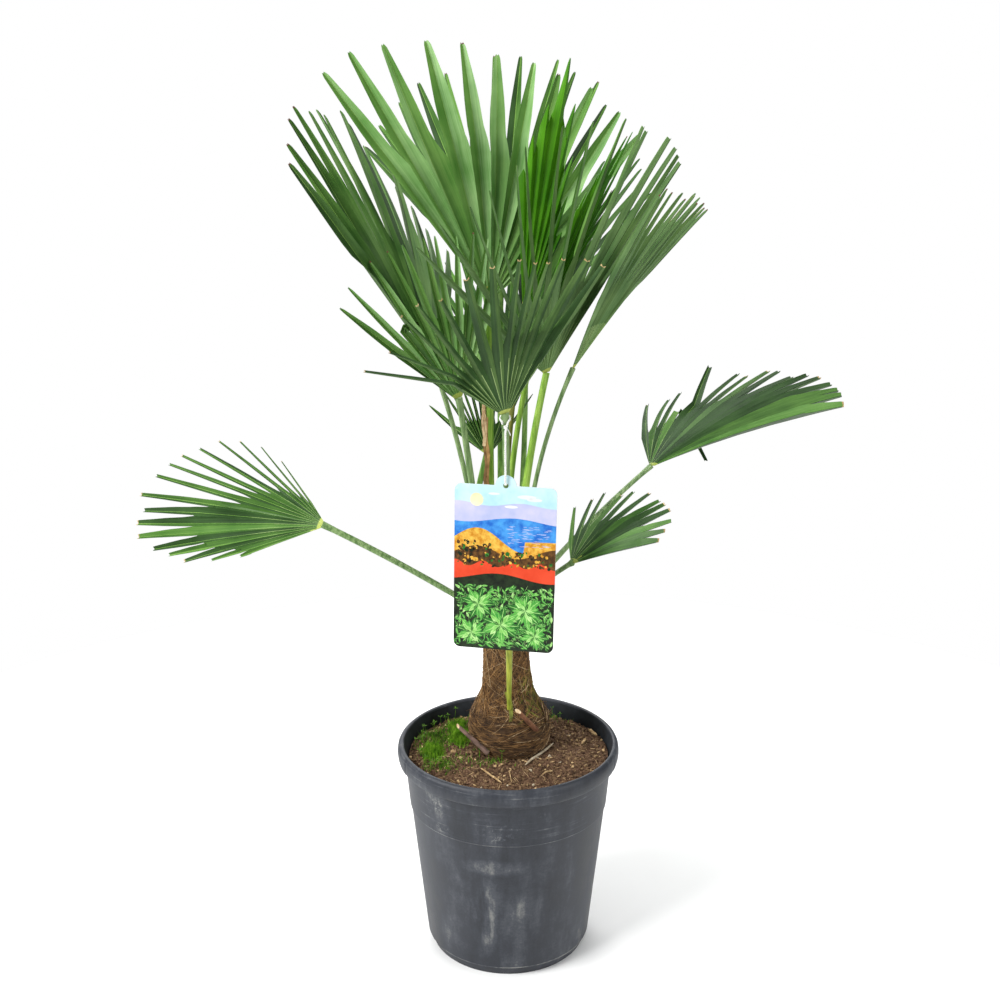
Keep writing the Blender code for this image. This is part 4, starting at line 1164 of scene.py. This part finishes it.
def dry_stub(name, bearing, height, end, foot_radius, end_radius, tone):
    outward = direction(bearing, 0)
    centre = trunk_axis(height)
    start = np.array((centre[0], centre[1], height)) + outward * trunk_radius(height)
    end = np.array(end)
    along = unit(end - start)
    across = unit(np.cross(along, (0, 0, 1.0)))
    start = seated(start, outward, across, along, foot_radius, foot_radius * PETIOLE_FLATNESS)
    up = np.cross(along, across)
    turn = np.arange(STUB_SIDES) * 2 * math.pi / STUB_SIDES
    ridge = 1 + 0.07 * np.cos(turn * 5) + 0.04 * np.cos(turn * 9 + 1)
    rings = []
    for share in list(np.linspace(0, 1, 9)) + [0.998, 0.99]:
        radius = foot_radius + (end_radius - foot_radius) * share
        if len(rings) > 8:
            radius *= (0.86, 0.5)[len(rings) - 9]
        wave = 1 + 0.05 * math.sin(share * 17)
        # The cut is slanting, so the last rings lean along the stub
        slant = radius * CUT_SLANT * np.cos(turn) if share > 0.95 else 0 * turn
        rings.append(start + (end - start) * share + np.outer(slant, along)
                     + np.outer(radius * wave * ridge * np.cos(turn), across)
                     + np.outer(radius * wave * ridge * np.sin(turn) * PETIOLE_FLATNESS, up))
    faces = tube_faces(len(rings), STUB_SIDES) + end_faces(len(rings), STUB_SIDES)
    slots = []
    for ring in range(len(rings) - 1):
        slots += [1 if ring > 7 else tone] * STUB_SIDES
    heap = Heap()
    heap.add(np.concatenate(rings), faces, slots + [tone, 1])
    heap.piece("dry_" + name, DRY_MATERIALS, "dry_stalk", (name,), smooth=50)


for stub in STUBS:
    dry_stub(*stub)

# %% [markdown]
# Dead sheaths cling to the trunk in ragged strips: a tuft on the right of the basket, and a
# collar of brown and straw-coloured strips where the stalks leave the crown. A strip is a
# thin ribbon whose width frays to a point.

# %% Ragged sheaths
def ribbon(heap, path, facing, width, slot, thickness=0.0004):
    """A closed flat strip along a path, widest at its foot, with a frayed point."""
    path = np.asarray(path)
    count = len(path)
    ahead = np.gradient(path, axis=0)
    ahead /= np.linalg.norm(ahead, axis=1)[:, None]
    across = np.cross(ahead, facing)
    across /= np.linalg.norm(across, axis=1)[:, None]
    out = np.cross(across, ahead)
    share = np.linspace(0, 1, count)
    half = width / 2 * (1 - 0.85 * share ** 2.5) * (1 + 0.12 * np.sin(share * 23 + width * 9000))
    corners = []
    for u, v in ((-1, -1), (1, -1), (1, 1), (-1, 1)):
        corners.append(path + across * (half * u)[:, None] + out * (thickness / 2 * v))
    points = np.stack(corners, axis=1).reshape(-1, 3)
    heap.add(points, tube_faces(count, 4) + end_faces(count, 4), slot)


sheaths = Heap()
chance = np.random.default_rng(21)
COLLAR_STRIPS = 34
for number in range(COLLAR_STRIPS):
    bearing = 2 * math.pi * (number + chance.uniform(-0.3, 0.3)) / COLLAR_STRIPS
    foot = chance.uniform(0.395, 0.438)
    length = chance.uniform(0.035, 0.085)
    share = np.linspace(0, 1, 10)
    lean = chance.uniform(0.0, 0.010)
    heights = foot + share * length
    wander = bearing + share * chance.normal(0, 0.25)
    reach = trunk_radius(np.minimum(heights, TRUNK_TOP[2])) + 0.0008 + lean * share ** 2
    centre = trunk_axis(heights)
    path = np.stack([centre[:, 0] + reach * np.cos(wander), centre[:, 1] + reach * np.sin(wander),
                     heights], axis=-1)
    facing = np.array((math.cos(bearing), math.sin(bearing), 0.0))
    ribbon(sheaths, path, facing, chance.uniform(0.002, 0.006), int(chance.choice((1, 2, 3))))
# The tuft on the right of the basket
TUFT_BEARING = math.radians(-14)
TUFT_STRIPS = 26
for number in range(TUFT_STRIPS):
    bearing = TUFT_BEARING + chance.normal(0, 0.16)
    foot = chance.uniform(0.262, 0.276)
    share = np.linspace(0, 1, 8)
    heights = foot + share * chance.uniform(0.012, 0.026)
    out = 0.0006 + share ** 1.5 * chance.uniform(0.002, 0.009)
    path = on_trunk(np.full(8, bearing), heights, out)
    facing = np.array((math.cos(bearing), math.sin(bearing), 0.0))
    ribbon(sheaths, path, facing, chance.uniform(0.0008, 0.0028), int(chance.choice((0, 1, 3))),
           0.0003)
# Pale and brown strips that peel off the tallest frond's stalk: where each begins and ends
# along the stalk, its width, how far it stands aside, and its fibre
peeled = next(frond for frond in FRONDS if frond["name"] == "tall")
start, middle, end = stalk_route(peeled)
PEELED = ((0.50, 0.78, 0.0040, -0.0058, 3), (0.53, 0.72, 0.0026, -0.0070, 3),
          (0.55, 0.70, 0.0018, -0.0044, 3), (0.36, 0.60, 0.0052, -0.0030, 2),
          (0.34, 0.55, 0.0030, -0.0052, 1))
for low, high, width, aside, slot in PEELED:
    steps = np.linspace(low, high, 14)[:, None]
    path = start * (1 - steps) ** 2 + middle * (2 * steps * (1 - steps)) + end * steps ** 2
    path = path + np.array((aside, -0.0040, 0.0))
    path[:, 0] += 0.0009 * np.sin(np.linspace(0, 11, 14) + width * 3000)
    ribbon(sheaths, path, np.array((-0.3, -0.95, 0.0)), width, slot)
# The sheath of the front stalk runs down over the fibre in a curve
share = np.linspace(0, 1, 14)
for aside, width in ((0.0, 0.0052), (0.05, 0.0030)):
    bearing = math.radians(-91) + aside + 0.10 * np.sin(share * 2.6)
    path = on_trunk(bearing, 0.318 - 0.032 * share, 0.0006 + 0.0012 * (1 - share))
    ribbon(sheaths, path, np.array((0.0, -1.0, 0.15)), width, 4)
sheaths.piece("ragged_sheaths", FIBRES, "trunk_fibre", (), smooth=40)

# %% [markdown]
# The soil is strewn with crumbs, bark chips, sticks, pale fibres and a little moss. A crumb
# is a block of eight faces, stretched and turned by chance. Thousands of them are worked out
# at once as arrays and joined in one mesh, which is far quicker than copying objects.

# %% Many small blocks at once
BLOCK_POINTS = np.array(((1, 0, 0), (0, 1, 0), (-1, 0, 0), (0, -1, 0), (0, 0, 1), (0, 0, -1.0)))
BLOCK_FACES = np.array(((0, 1, 4), (1, 2, 4), (2, 3, 4), (3, 0, 4), (1, 0, 5), (2, 1, 5),
                        (3, 2, 5), (0, 3, 5)))


def blocks(heap, centres, sizes, turns, tilts, slots, rough=0.25, seed=0):
    """Stretched, turned eight-faced blocks: sizes is (n, 3), turns and tilts are in radians."""
    shake = np.random.default_rng(seed).uniform(1 - rough, 1 + rough, (len(centres), 6, 1))
    points = BLOCK_POINTS[None] * shake * sizes[:, None, :]
    ct, st = np.cos(tilts)[:, None], np.sin(tilts)[:, None]
    x, y, z = points[..., 0], points[..., 1], points[..., 2]
    x, z = x * ct + z * st, z * ct - x * st
    cr, sr = np.cos(turns)[:, None], np.sin(turns)[:, None]
    x, y = x * cr - y * sr, x * sr + y * cr
    points = np.stack([x, y, z], axis=-1) + centres[:, None, :]
    faces = BLOCK_FACES[None] + 6 * np.arange(len(centres))[:, None, None]
    heap.add(points.reshape(-1, 3), faces.reshape(-1, 3).tolist(),
             np.repeat(slots, len(BLOCK_FACES)).tolist())


def on_soil(count, rng, clear=0.0):
    """Random places on the open soil, outside the trunk's foot."""
    places = []
    while len(places) < count:
        x, y = rng.uniform(-SOIL_RADIUS, SOIL_RADIUS, 2)
        away = math.hypot(x - TRUNK_FOOT[0], y - TRUNK_FOOT[1])
        if math.hypot(x, y) < SOIL_RADIUS - 0.001 - clear and away > 0.040:
            places.append((x, y))
    x, y = np.array(places).T
    return np.stack([x, y, soil_height(x, y)], axis=-1)


def crumb(name, dark, light):
    """Peat, bark and grit are dry on top and very dull."""
    return mottled(name, 0.92, 1.4, 260.0, ((0.35, dark), (0.65, light)))


SOIL_MATERIALS = (crumb("peat_dark", "#3a2a1e", "#5a4331"),
                  crumb("peat_brown", "#58432f", "#7a6047"),
                  crumb("peat_light", "#6e5740", "#957b58"),
                  crumb("bark_chip", "#94764f", "#cdb084"),
                  crumb("grit_pale", "#a5957a", "#cfc3ab"))
rng = np.random.default_rng(8)
CRUMBS = 8000
crumbs = Heap()
places = on_soil(CRUMBS, rng)
radius = 0.0004 + 0.0021 * rng.uniform(size=CRUMBS) ** 5
sizes = radius[:, None] * rng.uniform(0.7, 1.35, (CRUMBS, 3))
places[:, 2] += radius * 0.35
blocks(crumbs, places, sizes, rng.uniform(0, 6.3, CRUMBS), rng.uniform(-1, 1, CRUMBS),
       rng.choice((0, 1, 2, 3, 4), CRUMBS, p=(0.38, 0.38, 0.18, 0.053, 0.007)), seed=3)
CHIPS = 130
places = on_soil(CHIPS, rng, 0.004)
sizes = rng.uniform((0.0018, 0.0008, 0.0004), (0.0052, 0.0022, 0.0010), (CHIPS, 3))
places[:, 2] += 0.0009
blocks(crumbs, places, sizes, rng.uniform(0, 6.3, CHIPS), rng.uniform(-0.35, 0.35, CHIPS),
       rng.choice((2, 3, 4), CHIPS, p=(0.55, 0.42, 0.03)), seed=4)
LOOSE_FIBRES = 420
for _ in range(LOOSE_FIBRES):
    x, y, z = on_soil(1, rng, 0.006)[0]
    turn, length = rng.uniform(0, 6.3), rng.uniform(0.004, 0.015)
    step = np.linspace(-0.5, 0.5, 6) * length
    px = x + step * math.cos(turn) + 0.0006 * np.sin(step * 500)
    py = y + step * math.sin(turn)
    strand(crumbs, np.stack([px, py, soil_height(px, py) + 0.0011], axis=-1),
           rng.uniform(0.00016, 0.00034), int(rng.choice((1, 2, 3))))
# Sticks: both ends on the ground, the radius and the finish
STICKS = (
    ((0.0188, -0.0437), (0.0520, 0.0060), 0.0014, 4),
    ((-0.0310, -0.0470), (-0.0068, -0.0752), 0.0011, 3),
    ((0.0010, -0.0540), (0.0040, -0.0760), 0.0005, 3),
    ((0.0375, -0.0600), (0.0500, -0.0493), 0.0009, 3),
    ((0.0950, 0.0500), (0.1040, 0.0360), 0.0018, 3),
    ((0.0850, 0.0080), (0.0900, 0.0230), 0.0014, 3),
    ((-0.0200, 0.0850), (0.0120, 0.0920), 0.0010, 3),
)
for low, high, radius, slot in STICKS:
    share = np.linspace(0, 1, 9)
    px = low[0] + (high[0] - low[0]) * share
    py = low[1] + (high[1] - low[1]) * share + 0.0008 * np.sin(share * 7)
    top = np.linspace(float(soil_height(px[0], py[0])), float(soil_height(px[-1], py[-1])), 9)
    top = np.maximum(top, soil_height(px, py)) + radius + 0.0010
    strand(crumbs, np.stack([px, py, top], axis=-1), radius, slot, sides=7)
crumbs.piece("soil_crumbs", SOIL_MATERIALS, "potting_soil", (), smooth=20)

# %% [markdown]
# Moss and tiny seedlings grow on the damp soil, thickest at the front left of the trunk. Each
# blade of moss is a slim pyramid; a seedling has two or three flat leaves on a thin stem.

# %% Moss and seedlings
def moss_skin(name, dark, light):
    """Soft living moss: bright in colour, with little gloss."""
    return mottled(name, 0.7, 1.4, 120.0, ((0.38, dark), (0.62, light)), 3.0)


MOSS_MATERIALS = (moss_skin("moss_dark", "#35540e", "#527a18"),
                  moss_skin("moss_bright", "#4b820c", "#7bac24"),
                  moss_skin("moss_yellow", "#5f7f1c", "#8ea63c"))
# Where moss grows: centre, spread, number of blades, height of the cushion, share of bright
MOSS_PATCHES = (
    ((-0.057, 0.018), (0.006, 0.008), 1700, 0.008, 0.90),
    ((-0.060, 0.056), (0.009, 0.013), 900, 0.006, 0.75),
    ((-0.087, -0.006), (0.007, 0.010), 1300, 0.006, 0.80),
    ((-0.082, 0.030), (0.016, 0.018), 900, 0.001, 0.15),
    ((-0.076, -0.034), (0.014, 0.010), 260, 0.001, 0.35),
    ((-0.050, -0.030), (0.020, 0.014), 120, 0.0, 0.30),
    ((-0.018, -0.034), (0.012, 0.005), 90, 0.0, 0.30),
    ((0.050, 0.100), (0.016, 0.010), 160, 0.0, 0.30),
    ((0.000, 0.085), (0.050, 0.014), 130, 0.0, 0.30),
)
moss = Heap()
rng = np.random.default_rng(12)
for centre, spread, count, cushion, bright in MOSS_PATCHES:
    for _ in range(count):
        off = rng.normal(0, 0.8, 2)
        x, y = np.array(centre) + off * spread
        off_trunk = math.hypot(x - TRUNK_FOOT[0], y - TRUNK_FOOT[1])
        if math.hypot(x, y) > SOIL_RADIUS - 0.002 or off_trunk < 0.043:
            continue
        z = float(soil_height(np.array(x), np.array(y)))
        mound = cushion * math.exp(-(off @ off) / 2)
        height = 0.0018 + 0.0056 * rng.uniform() ** 2 + mound
        lean = rng.normal(0, 0.0022, 2)
        turn = rng.uniform(0, 6.3) + np.arange(3) * 2.094
        foot = np.stack([x + 0.00052 * np.cos(turn), y + 0.00052 * np.sin(turn),
                         np.full(3, z - 0.0004)], axis=-1)
        tip = np.array([[x + lean[0], y + lean[1], z + height]])
        moss.add(np.concatenate([foot, tip]), ((2, 1, 0), (0, 1, 3), (1, 2, 3), (2, 0, 3)),
                 int(rng.choice((0, 1, 2), p=(1 - bright, bright * 0.8, bright * 0.2))))
# Seedlings along the back-left wall, at the trunk's foot and at the back right
SEEDLING_PLACES = [(-0.108 + 0.0027 * k, 0.012 + 0.0075 * k) for k in range(13)]
SEEDLING_PLACES += [(-0.098 + 0.004 * k, -0.046 + 0.006 * (k % 3)) for k in range(6)]
SEEDLING_PLACES += [(-0.030, -0.030), (-0.020, -0.032), (-0.008, -0.036), (0.052, 0.098),
                    (0.060, 0.092), (-0.062, -0.046), (-0.094, 0.020), (-0.100, -0.012)]
for x, y in SEEDLING_PLACES:
    x, y = np.array((x, y)) + rng.normal(0, 0.003, 2)
    if math.hypot(x, y) > SOIL_RADIUS - 0.003:
        x, y = np.array((x, y)) * (SOIL_RADIUS - 0.004) / math.hypot(x, y)
    z = float(soil_height(np.array(x), np.array(y)))
    tall = rng.uniform(0.006, 0.014)
    lean = rng.normal(0, 0.002, 2)
    share = np.linspace(0, 1, 4)[:, None]
    strand(moss, np.array((x, y, z)) + share * np.array((lean[0], lean[1], tall)), 0.00028, 1)
    leaves = 3
    turns = rng.uniform(0, 6.3) + np.arange(leaves) * 2.1
    reach = 0.0018
    centres = np.stack([x + lean[0] + reach * np.cos(turns), y + lean[1] + reach * np.sin(turns),
                        np.full(leaves, z + tall + 0.0004)], axis=-1)
    blocks(moss, centres, np.tile((0.0019, 0.0010, 0.0003), (leaves, 1)), turns,
           np.full(leaves, -0.35), np.full(leaves, 0), 0.1)
moss.piece("soil_moss", MOSS_MATERIALS, "potting_soil", (), smooth=30)

# %% [markdown]
# The card is laminated print: glossy, with a white back. Its design is a made-up landscape of
# bands between curves that run across the card, with simple leaf shapes over it. Building the
# bands as one sheet, with shared points along each curve, lets Solidify give it real edges.

# %% Card sizes and inks
CARD_WIDTH = 0.106
CARD_HEIGHT = 0.177
CARD_FRONT = 0.0012
CARD_SHEET = 0.0008
CARD_CORNER = 0.007
CARD_EAR_RADIUS = 0.011
CARD_HOLE_RADIUS = 0.0028
CARD_HOLE_SIDES = 12
CARD_HOLE = Vector((-0.0022, -0.0900, 0.5784))
CARD_TURN = -10
CARD_LEAN = -2.6
CARD_TILT = -0.6
CARD_CURL = 0.0004
CARD_PLACE = (Matrix.Translation(CARD_HOLE) @ Matrix.Rotation(math.radians(CARD_TURN), 4, "Z")
              @ Matrix.Rotation(math.radians(90 + CARD_LEAN), 4, "X")
              @ Matrix.Rotation(math.radians(CARD_TILT), 4, "Z"))


def ink(name, dark, light, size=70.0):
    """Printed ink under a clear film: glossy, with the soft clouds of a picture's tones."""
    return mottled(name, 0.30, 1.5, size, ((0.36, dark), (0.64, light)), 5.0, 0.6)


CARD_INKS = (
    ink("ink_sky_pale", "#a4cdd4", "#c3dde2", 30.0),
    ink("ink_sky_lilac", "#9fa9cf", "#c2bfd8", 24.0),
    ink("ink_lake_blue", "#1c5cb4", "#4796d8", 90.0),
    ink("ink_hill_yellow", "#b87818", "#dfb34c", 190.0),
    ink("ink_hill_brown", "#2a1a0e", "#694720", 230.0),
    ink("ink_ribbon_red", "#c83a1c", "#d4482a", 40.0),
    ink("ink_ground_dark", "#0b100a", "#22301a", 150.0),
    ink("ink_leaf_deep", "#17491c", "#327d2c", 160.0),
    ink("ink_leaf_mid", "#378a34", "#68b04c", 160.0),
    ink("ink_leaf_pale", "#7fbe5c", "#b4dc90", 160.0),
    ink("ink_sun_cream", "#d9cfa4", "#e6dfbe", 60.0),
    ink("card_white", "#cfd4d4", "#dcdfdf", 40.0),
)
(SKY_PALE, SKY_LILAC, LAKE, HILL, WOODS, RIBBON, GROUND, LEAF_DEEP, LEAF_MID, LEAF_PALE, SUN,
 WHITE) = range(12)


# %% Card sheet
def card_point(x, y, z):
    """From the card's own flat frame to the plant's, with the card's slight curl."""
    z = z - CARD_CURL * (x / (CARD_WIDTH / 2)) ** 2 * (y / -CARD_HEIGHT)
    return CARD_PLACE @ Vector((x, y, z))


half = CARD_WIDTH / 2
round_part = np.linspace(0, math.pi / 2, 9)
columns = np.unique(np.round(np.concatenate([
    np.linspace(-half, half, 61),
    half - CARD_CORNER + CARD_CORNER * np.sin(round_part),
    -(half - CARD_CORNER + CARD_CORNER * np.sin(round_part)),
    CARD_EAR_RADIUS * np.cos(np.linspace(0, math.pi, 25)),
    CARD_HOLE_RADIUS * np.cos(np.linspace(0, math.pi, 17))]), 7))
past = np.clip(np.abs(columns) - (half - CARD_CORNER), 0, CARD_CORNER)
corner_drop = CARD_CORNER - np.sqrt(CARD_CORNER ** 2 - past ** 2)
hole = np.sqrt(np.clip(CARD_HOLE_RADIUS ** 2 - columns ** 2, 0, None))
ear = np.sqrt(np.clip(CARD_EAR_RADIUS ** 2 - columns ** 2, 0, None))
top_edge = -np.maximum(corner_drop, hole)
low_edge = corner_drop - CARD_HEIGHT

wave = np.sin(columns * 95)
curves = (
    (SKY_PALE, -0.020 + 0.002 * wave),
    (SKY_LILAC, -0.037 + 0.0030 * np.sin(columns * 60 + 1)),
    (LAKE, -0.058 + 0.012 * np.cos((columns + 0.030) * 62) * (columns < 0.02)
     - 0.0005 * wave),
    (HILL, -0.071 - 0.006 * np.sin(columns * 75 + 0.6)),
    (WOODS, -0.084 + 0.003 * np.sin(columns * 210)),
    (RIBBON, -0.098 + 0.004 * np.sin(columns * 58 + 2)),
    (GROUND, low_edge),
)
BAND_ROWS = 4
sheet_points, sheet_faces, sheet_slots = [], [], []


def band(high, low, slot, inside):
    """Fill the sheet between two curves, for the columns that lie inside."""
    start = len(sheet_points)
    for row in range(BAND_ROWS + 1):
        level = high + (low - high) * row / BAND_ROWS
        sheet_points.extend(card_point(x, y, CARD_FRONT) for x, y in zip(columns, level))
    for row in range(BAND_ROWS):
        for k in range(len(columns) - 1):
            if inside[k] and inside[k + 1]:
                a = start + row * len(columns) + k
                sheet_faces.append((a, a + len(columns), a + len(columns) + 1, a + 1))
                sheet_slots.append(slot)


everywhere = np.ones(len(columns), bool)
above = top_edge
for slot, below in curves:
    below = np.maximum(low_edge, np.minimum(below, above - 0.001))
    band(above, below, slot, everywhere)
    above = below
band(ear, hole, SKY_PALE, np.abs(columns) <= CARD_EAR_RADIUS + 1e-6)

mesh = bpy.data.meshes.new("picture_card")
mesh.from_pydata(sheet_points, [], sheet_faces)
for material in CARD_INKS:
    mesh.materials.append(material)
mesh.polygons.foreach_set("material_index", sheet_slots)
card = bpy.data.objects.new("picture_card", mesh)
bpy.context.scene.collection.objects.link(card)
bpy.ops.object.select_all(action="DESELECT")
card.select_set(True)
bpy.context.view_layer.objects.active = card
bpy.ops.object.mode_set(mode="EDIT")
bpy.ops.mesh.select_all(action="SELECT")
bpy.ops.mesh.remove_doubles(threshold=0.000005)
bpy.ops.mesh.dissolve_degenerate(threshold=0.000002)
bpy.ops.mesh.select_all(action="SELECT")
bpy.ops.mesh.delete_loose()
bpy.ops.object.mode_set(mode="OBJECT")
solid = card.modifiers.new("sheet", "SOLIDIFY")
solid.thickness = CARD_SHEET
solid.offset = -1.0
solid.material_offset = len(CARD_INKS)
solid.material_offset_rim = len(CARD_INKS)
bpy.ops.object.modifier_apply(modifier="sheet")
dress(card, ("hang_card",))

# %% [markdown]
# The motifs are thin plates that stand a twentieth of a millimetre proud of the sheet: a sun,
# small clouds, round trees on the hill, and a bed of oval leaves, each with its rib.

# %% Card motifs
PRINT_PROUD = 0.00005
PRINT_DEPTH = 0.00012
motifs = Heap()


def plate(outline, slot, level=0):
    """A thin plate from an outline of (x, y) points, counter-clockwise."""
    count = len(outline)
    top = CARD_FRONT + PRINT_PROUD * (1 + level)
    points = [card_point(x, y, top) for x, y in outline]
    points += [card_point(x, y, top - PRINT_DEPTH) for x, y in outline]
    faces = [tuple(range(count)), tuple(range(2 * count - 1, count - 1, -1))]
    faces += [(k, count + k, count + (k + 1) % count, (k + 1) % count) for k in range(count)]
    motifs.add(points, faces, slot)


def oval(x, y, width, height, slot, level=0, turn=0.0, pointed=0.0, sides=18):
    """An oval, drawn out to points at both ends when pointed is near 1."""
    outline = []
    for k in range(sides):
        angle = 2 * math.pi * k / sides
        u = width * math.cos(angle)
        v = height * math.sin(angle) * (1 - pointed * math.cos(angle) ** 2)
        outline.append((x + u * math.cos(turn) - v * math.sin(turn),
                        y + u * math.sin(turn) + v * math.cos(turn)))
    plate(outline, slot, level)


oval(-0.030, -0.016, 0.0070, 0.0070, SUN, sides=28)
for x, y, width in ((0.022, -0.011, 0.010), (0.030, -0.0135, 0.008), (0.006, -0.022, 0.007),
                    (-0.012, -0.0090, 0.006)):
    oval(x, y, width, width * 0.22, WHITE)
rng = np.random.default_rng(31)
RIPPLES, TREES, GROUND_LEAVES = 60, 240, 900
# Ripples on the lake
for _ in range(RIPPLES):
    x, y = rng.uniform(0.004, 0.047), rng.uniform(-0.064, -0.042)
    oval(x, y, rng.uniform(0.0015, 0.0045), 0.00022, SKY_LILAC, sides=6)
# Trees and rocks on the hills
for _ in range(TREES):
    x = rng.uniform(-0.049, 0.049)
    y = rng.uniform(-0.086, -0.060)
    if y > -0.070 and x > -0.012:
        continue
    size = rng.uniform(0.0008, 0.0026)
    oval(x, y, size, size * rng.uniform(0.5, 1.0),
         int(rng.choice((WOODS, HILL, LEAF_DEEP, GROUND), p=(0.4, 0.25, 0.15, 0.2))),
         int(rng.integers(0, 2)), rng.uniform(0, 3), 0.3, 7)


def leaf_motif(x, y, length, turn, tone, level):
    reach_x, reach_y = abs(math.cos(turn)) * length, abs(math.sin(turn)) * length
    if abs(x) + reach_x > half - 0.001 or y - reach_y < 0.0015 - CARD_HEIGHT or y > -0.098:
        return
    oval(x, y, length, length * 0.34, tone, level, turn, 0.75, 12)
    oval(x, y, length * 0.9, length * 0.035, LEAF_PALE if tone != LEAF_PALE else LEAF_MID,
         level + 0.5, turn, 0.0, 6)


# A ground cover of small leaves, then five rosettes of long ones
for _ in range(GROUND_LEAVES):
    x, y = rng.uniform(-0.052, 0.052), rng.uniform(-0.176, -0.108)
    length, turn = rng.uniform(0.0018, 0.0042), rng.uniform(0, math.pi)
    tone = int(rng.choice((LEAF_DEEP, LEAF_MID, LEAF_PALE, GROUND), p=(0.40, 0.33, 0.12, 0.15)))
    leaf_motif(x, y, length, turn, tone, int(rng.integers(0, 2)))
for x, y, length in ((-0.027, -0.128, 0.0095), (0.023, -0.133, 0.0105), (-0.003, -0.150, 0.0110),
                     (0.033, -0.160, 0.0080), (-0.034, -0.160, 0.0090)):
    for ring, share in ((0, 1.0), (1, 0.72), (2, 0.45)):
        for k in range(9):
            turn = 2 * math.pi * (k + 0.5 * ring) / 9 + rng.uniform(-0.12, 0.12)
            reach = length * share
            leaf_motif(x + reach * math.cos(turn), y + reach * math.sin(turn), reach * 0.95, turn,
                       (LEAF_DEEP, LEAF_MID, LEAF_PALE)[(ring + k % 2) % 3], 2 + ring)
motifs.piece("card_print", CARD_INKS, "printed_card", (), smooth=30)

# %% [markdown]
# The string is white cotton of two plies. It comes through the card's hole, runs up to the
# front stalk, goes once round it and is knotted. Each ply winds round the route as a helix.

# %% Card string
STRING_RADIUS = 0.0009
STRING_SEAT = 0.985
STRING_TURNS = 10
STRING_BEHIND = 0.004
STRING_AHEAD = 0.0035
STRING_KNOT_DROP = 0.0075
STRING_LOOP_SLANT = 0.003
PLY_RADIUS = 0.00068
LOOP_CLEAR = 0.0008
PLY_PITCH = 0.0040


def string_route():
    front = next(frond for frond in FRONDS if frond["name"] == "front")
    start, middle, end = stalk_route(front)
    t = STRING_SEAT
    centre = start * (1 - t) ** 2 + middle * (2 * t * (1 - t)) + end * t ** 2
    tangent = unit((middle - start) * (1 - t) + (end - middle) * t)
    ahead = np.array((0, -1.0, 0))
    ahead = unit(ahead - tangent * (ahead @ tangent))
    across = np.cross(tangent, ahead)
    radius = HUB_HALF_WIDTH + LOOP_CLEAR
    depth = HUB_HALF_WIDTH * PETIOLE_FLATNESS + LOOP_CLEAR
    through = np.array(CARD_PLACE.to_3x3() @ Vector((0, 0, 1)))
    rise = CARD_HOLE_RADIUS * math.cos(math.pi / CARD_HOLE_SIDES) - STRING_RADIUS - GAP
    seat = np.array(CARD_HOLE) + np.array((0, 0, rise))
    route = [seat - through * STRING_BEHIND, seat + through * CARD_FRONT / 2,
             seat + through * STRING_AHEAD]
    knot = centre + ahead * (depth + STRING_RADIUS) - tangent * STRING_KNOT_DROP
    route.append(np.array((route[-1][0], route[-1][1], knot[2] - STRING_BEHIND)))
    for k in range(STRING_TURNS + 1):
        angle = math.radians(-35 - 290 * k / STRING_TURNS)
        route.append(centre + ahead * (depth * math.cos(angle))
                     - across * (radius * math.sin(angle))
                     - tangent * (STRING_LOOP_SLANT * math.cos(angle)))
    route.append(knot - across * STRING_LOOP_SLANT + tangent * STRING_LOOP_SLANT)
    return np.array(route), knot


def evenly(route, spacing):
    """The same route with points at an even spacing."""
    steps = np.linalg.norm(np.diff(route, axis=0), axis=1)
    gone = np.concatenate([[0], np.cumsum(steps)])
    marks = np.linspace(0, gone[-1], max(4, int(gone[-1] / spacing)))
    return np.stack([np.interp(marks, gone, route[:, axis]) for axis in range(3)], axis=-1)


# White cotton is soft and dull, with faint grey in the hollows of the twist
COTTON = mottled("cotton_string", 0.8, 1.5, 900.0, ((0.3, "#dcdcd6"), (0.7, "#fbfbf8")), 2.0)
PATH_SPACING = 0.0006
string = Heap()
route, knot = string_route()
path = evenly(route, PATH_SPACING)
ahead = np.gradient(path, axis=0)
ahead /= np.linalg.norm(ahead, axis=1)[:, None]
across = np.cross(ahead, (0.2, -0.9, 0.35))
across /= np.linalg.norm(across, axis=1)[:, None]
up = np.cross(ahead, across)
turn = np.arange(len(path)) * PATH_SPACING * 2 * math.pi / PLY_PITCH
for ply in (0, math.pi):
    wound = (path + across * (PLY_RADIUS * 0.85 * np.cos(turn + ply))[:, None]
             + up * (PLY_RADIUS * 0.85 * np.sin(turn + ply))[:, None])
    strand(string, wound, PLY_RADIUS, 0, sides=6, pointed=False)
# The knot: three tight coils, and a short cut end
coil = np.linspace(0, 3 * 2 * math.pi, 60)
strand(string, knot + np.stack([0.0013 * np.cos(coil), 0.0013 * np.sin(coil),
                                0.0011 * np.cos(coil / 3)], axis=-1), 0.0006, 0, 6, False)
loose = np.linspace(0, 1, 10)[:, None]
strand(string, knot + loose * np.array((0.005, -0.001, -0.009))
       + np.array((0.001, 0, 0)) * np.sin(loose * 3), 0.0006, 0, 6)
string.piece("cotton_string", (COTTON,), "white_string", ("card_string",), smooth=50)
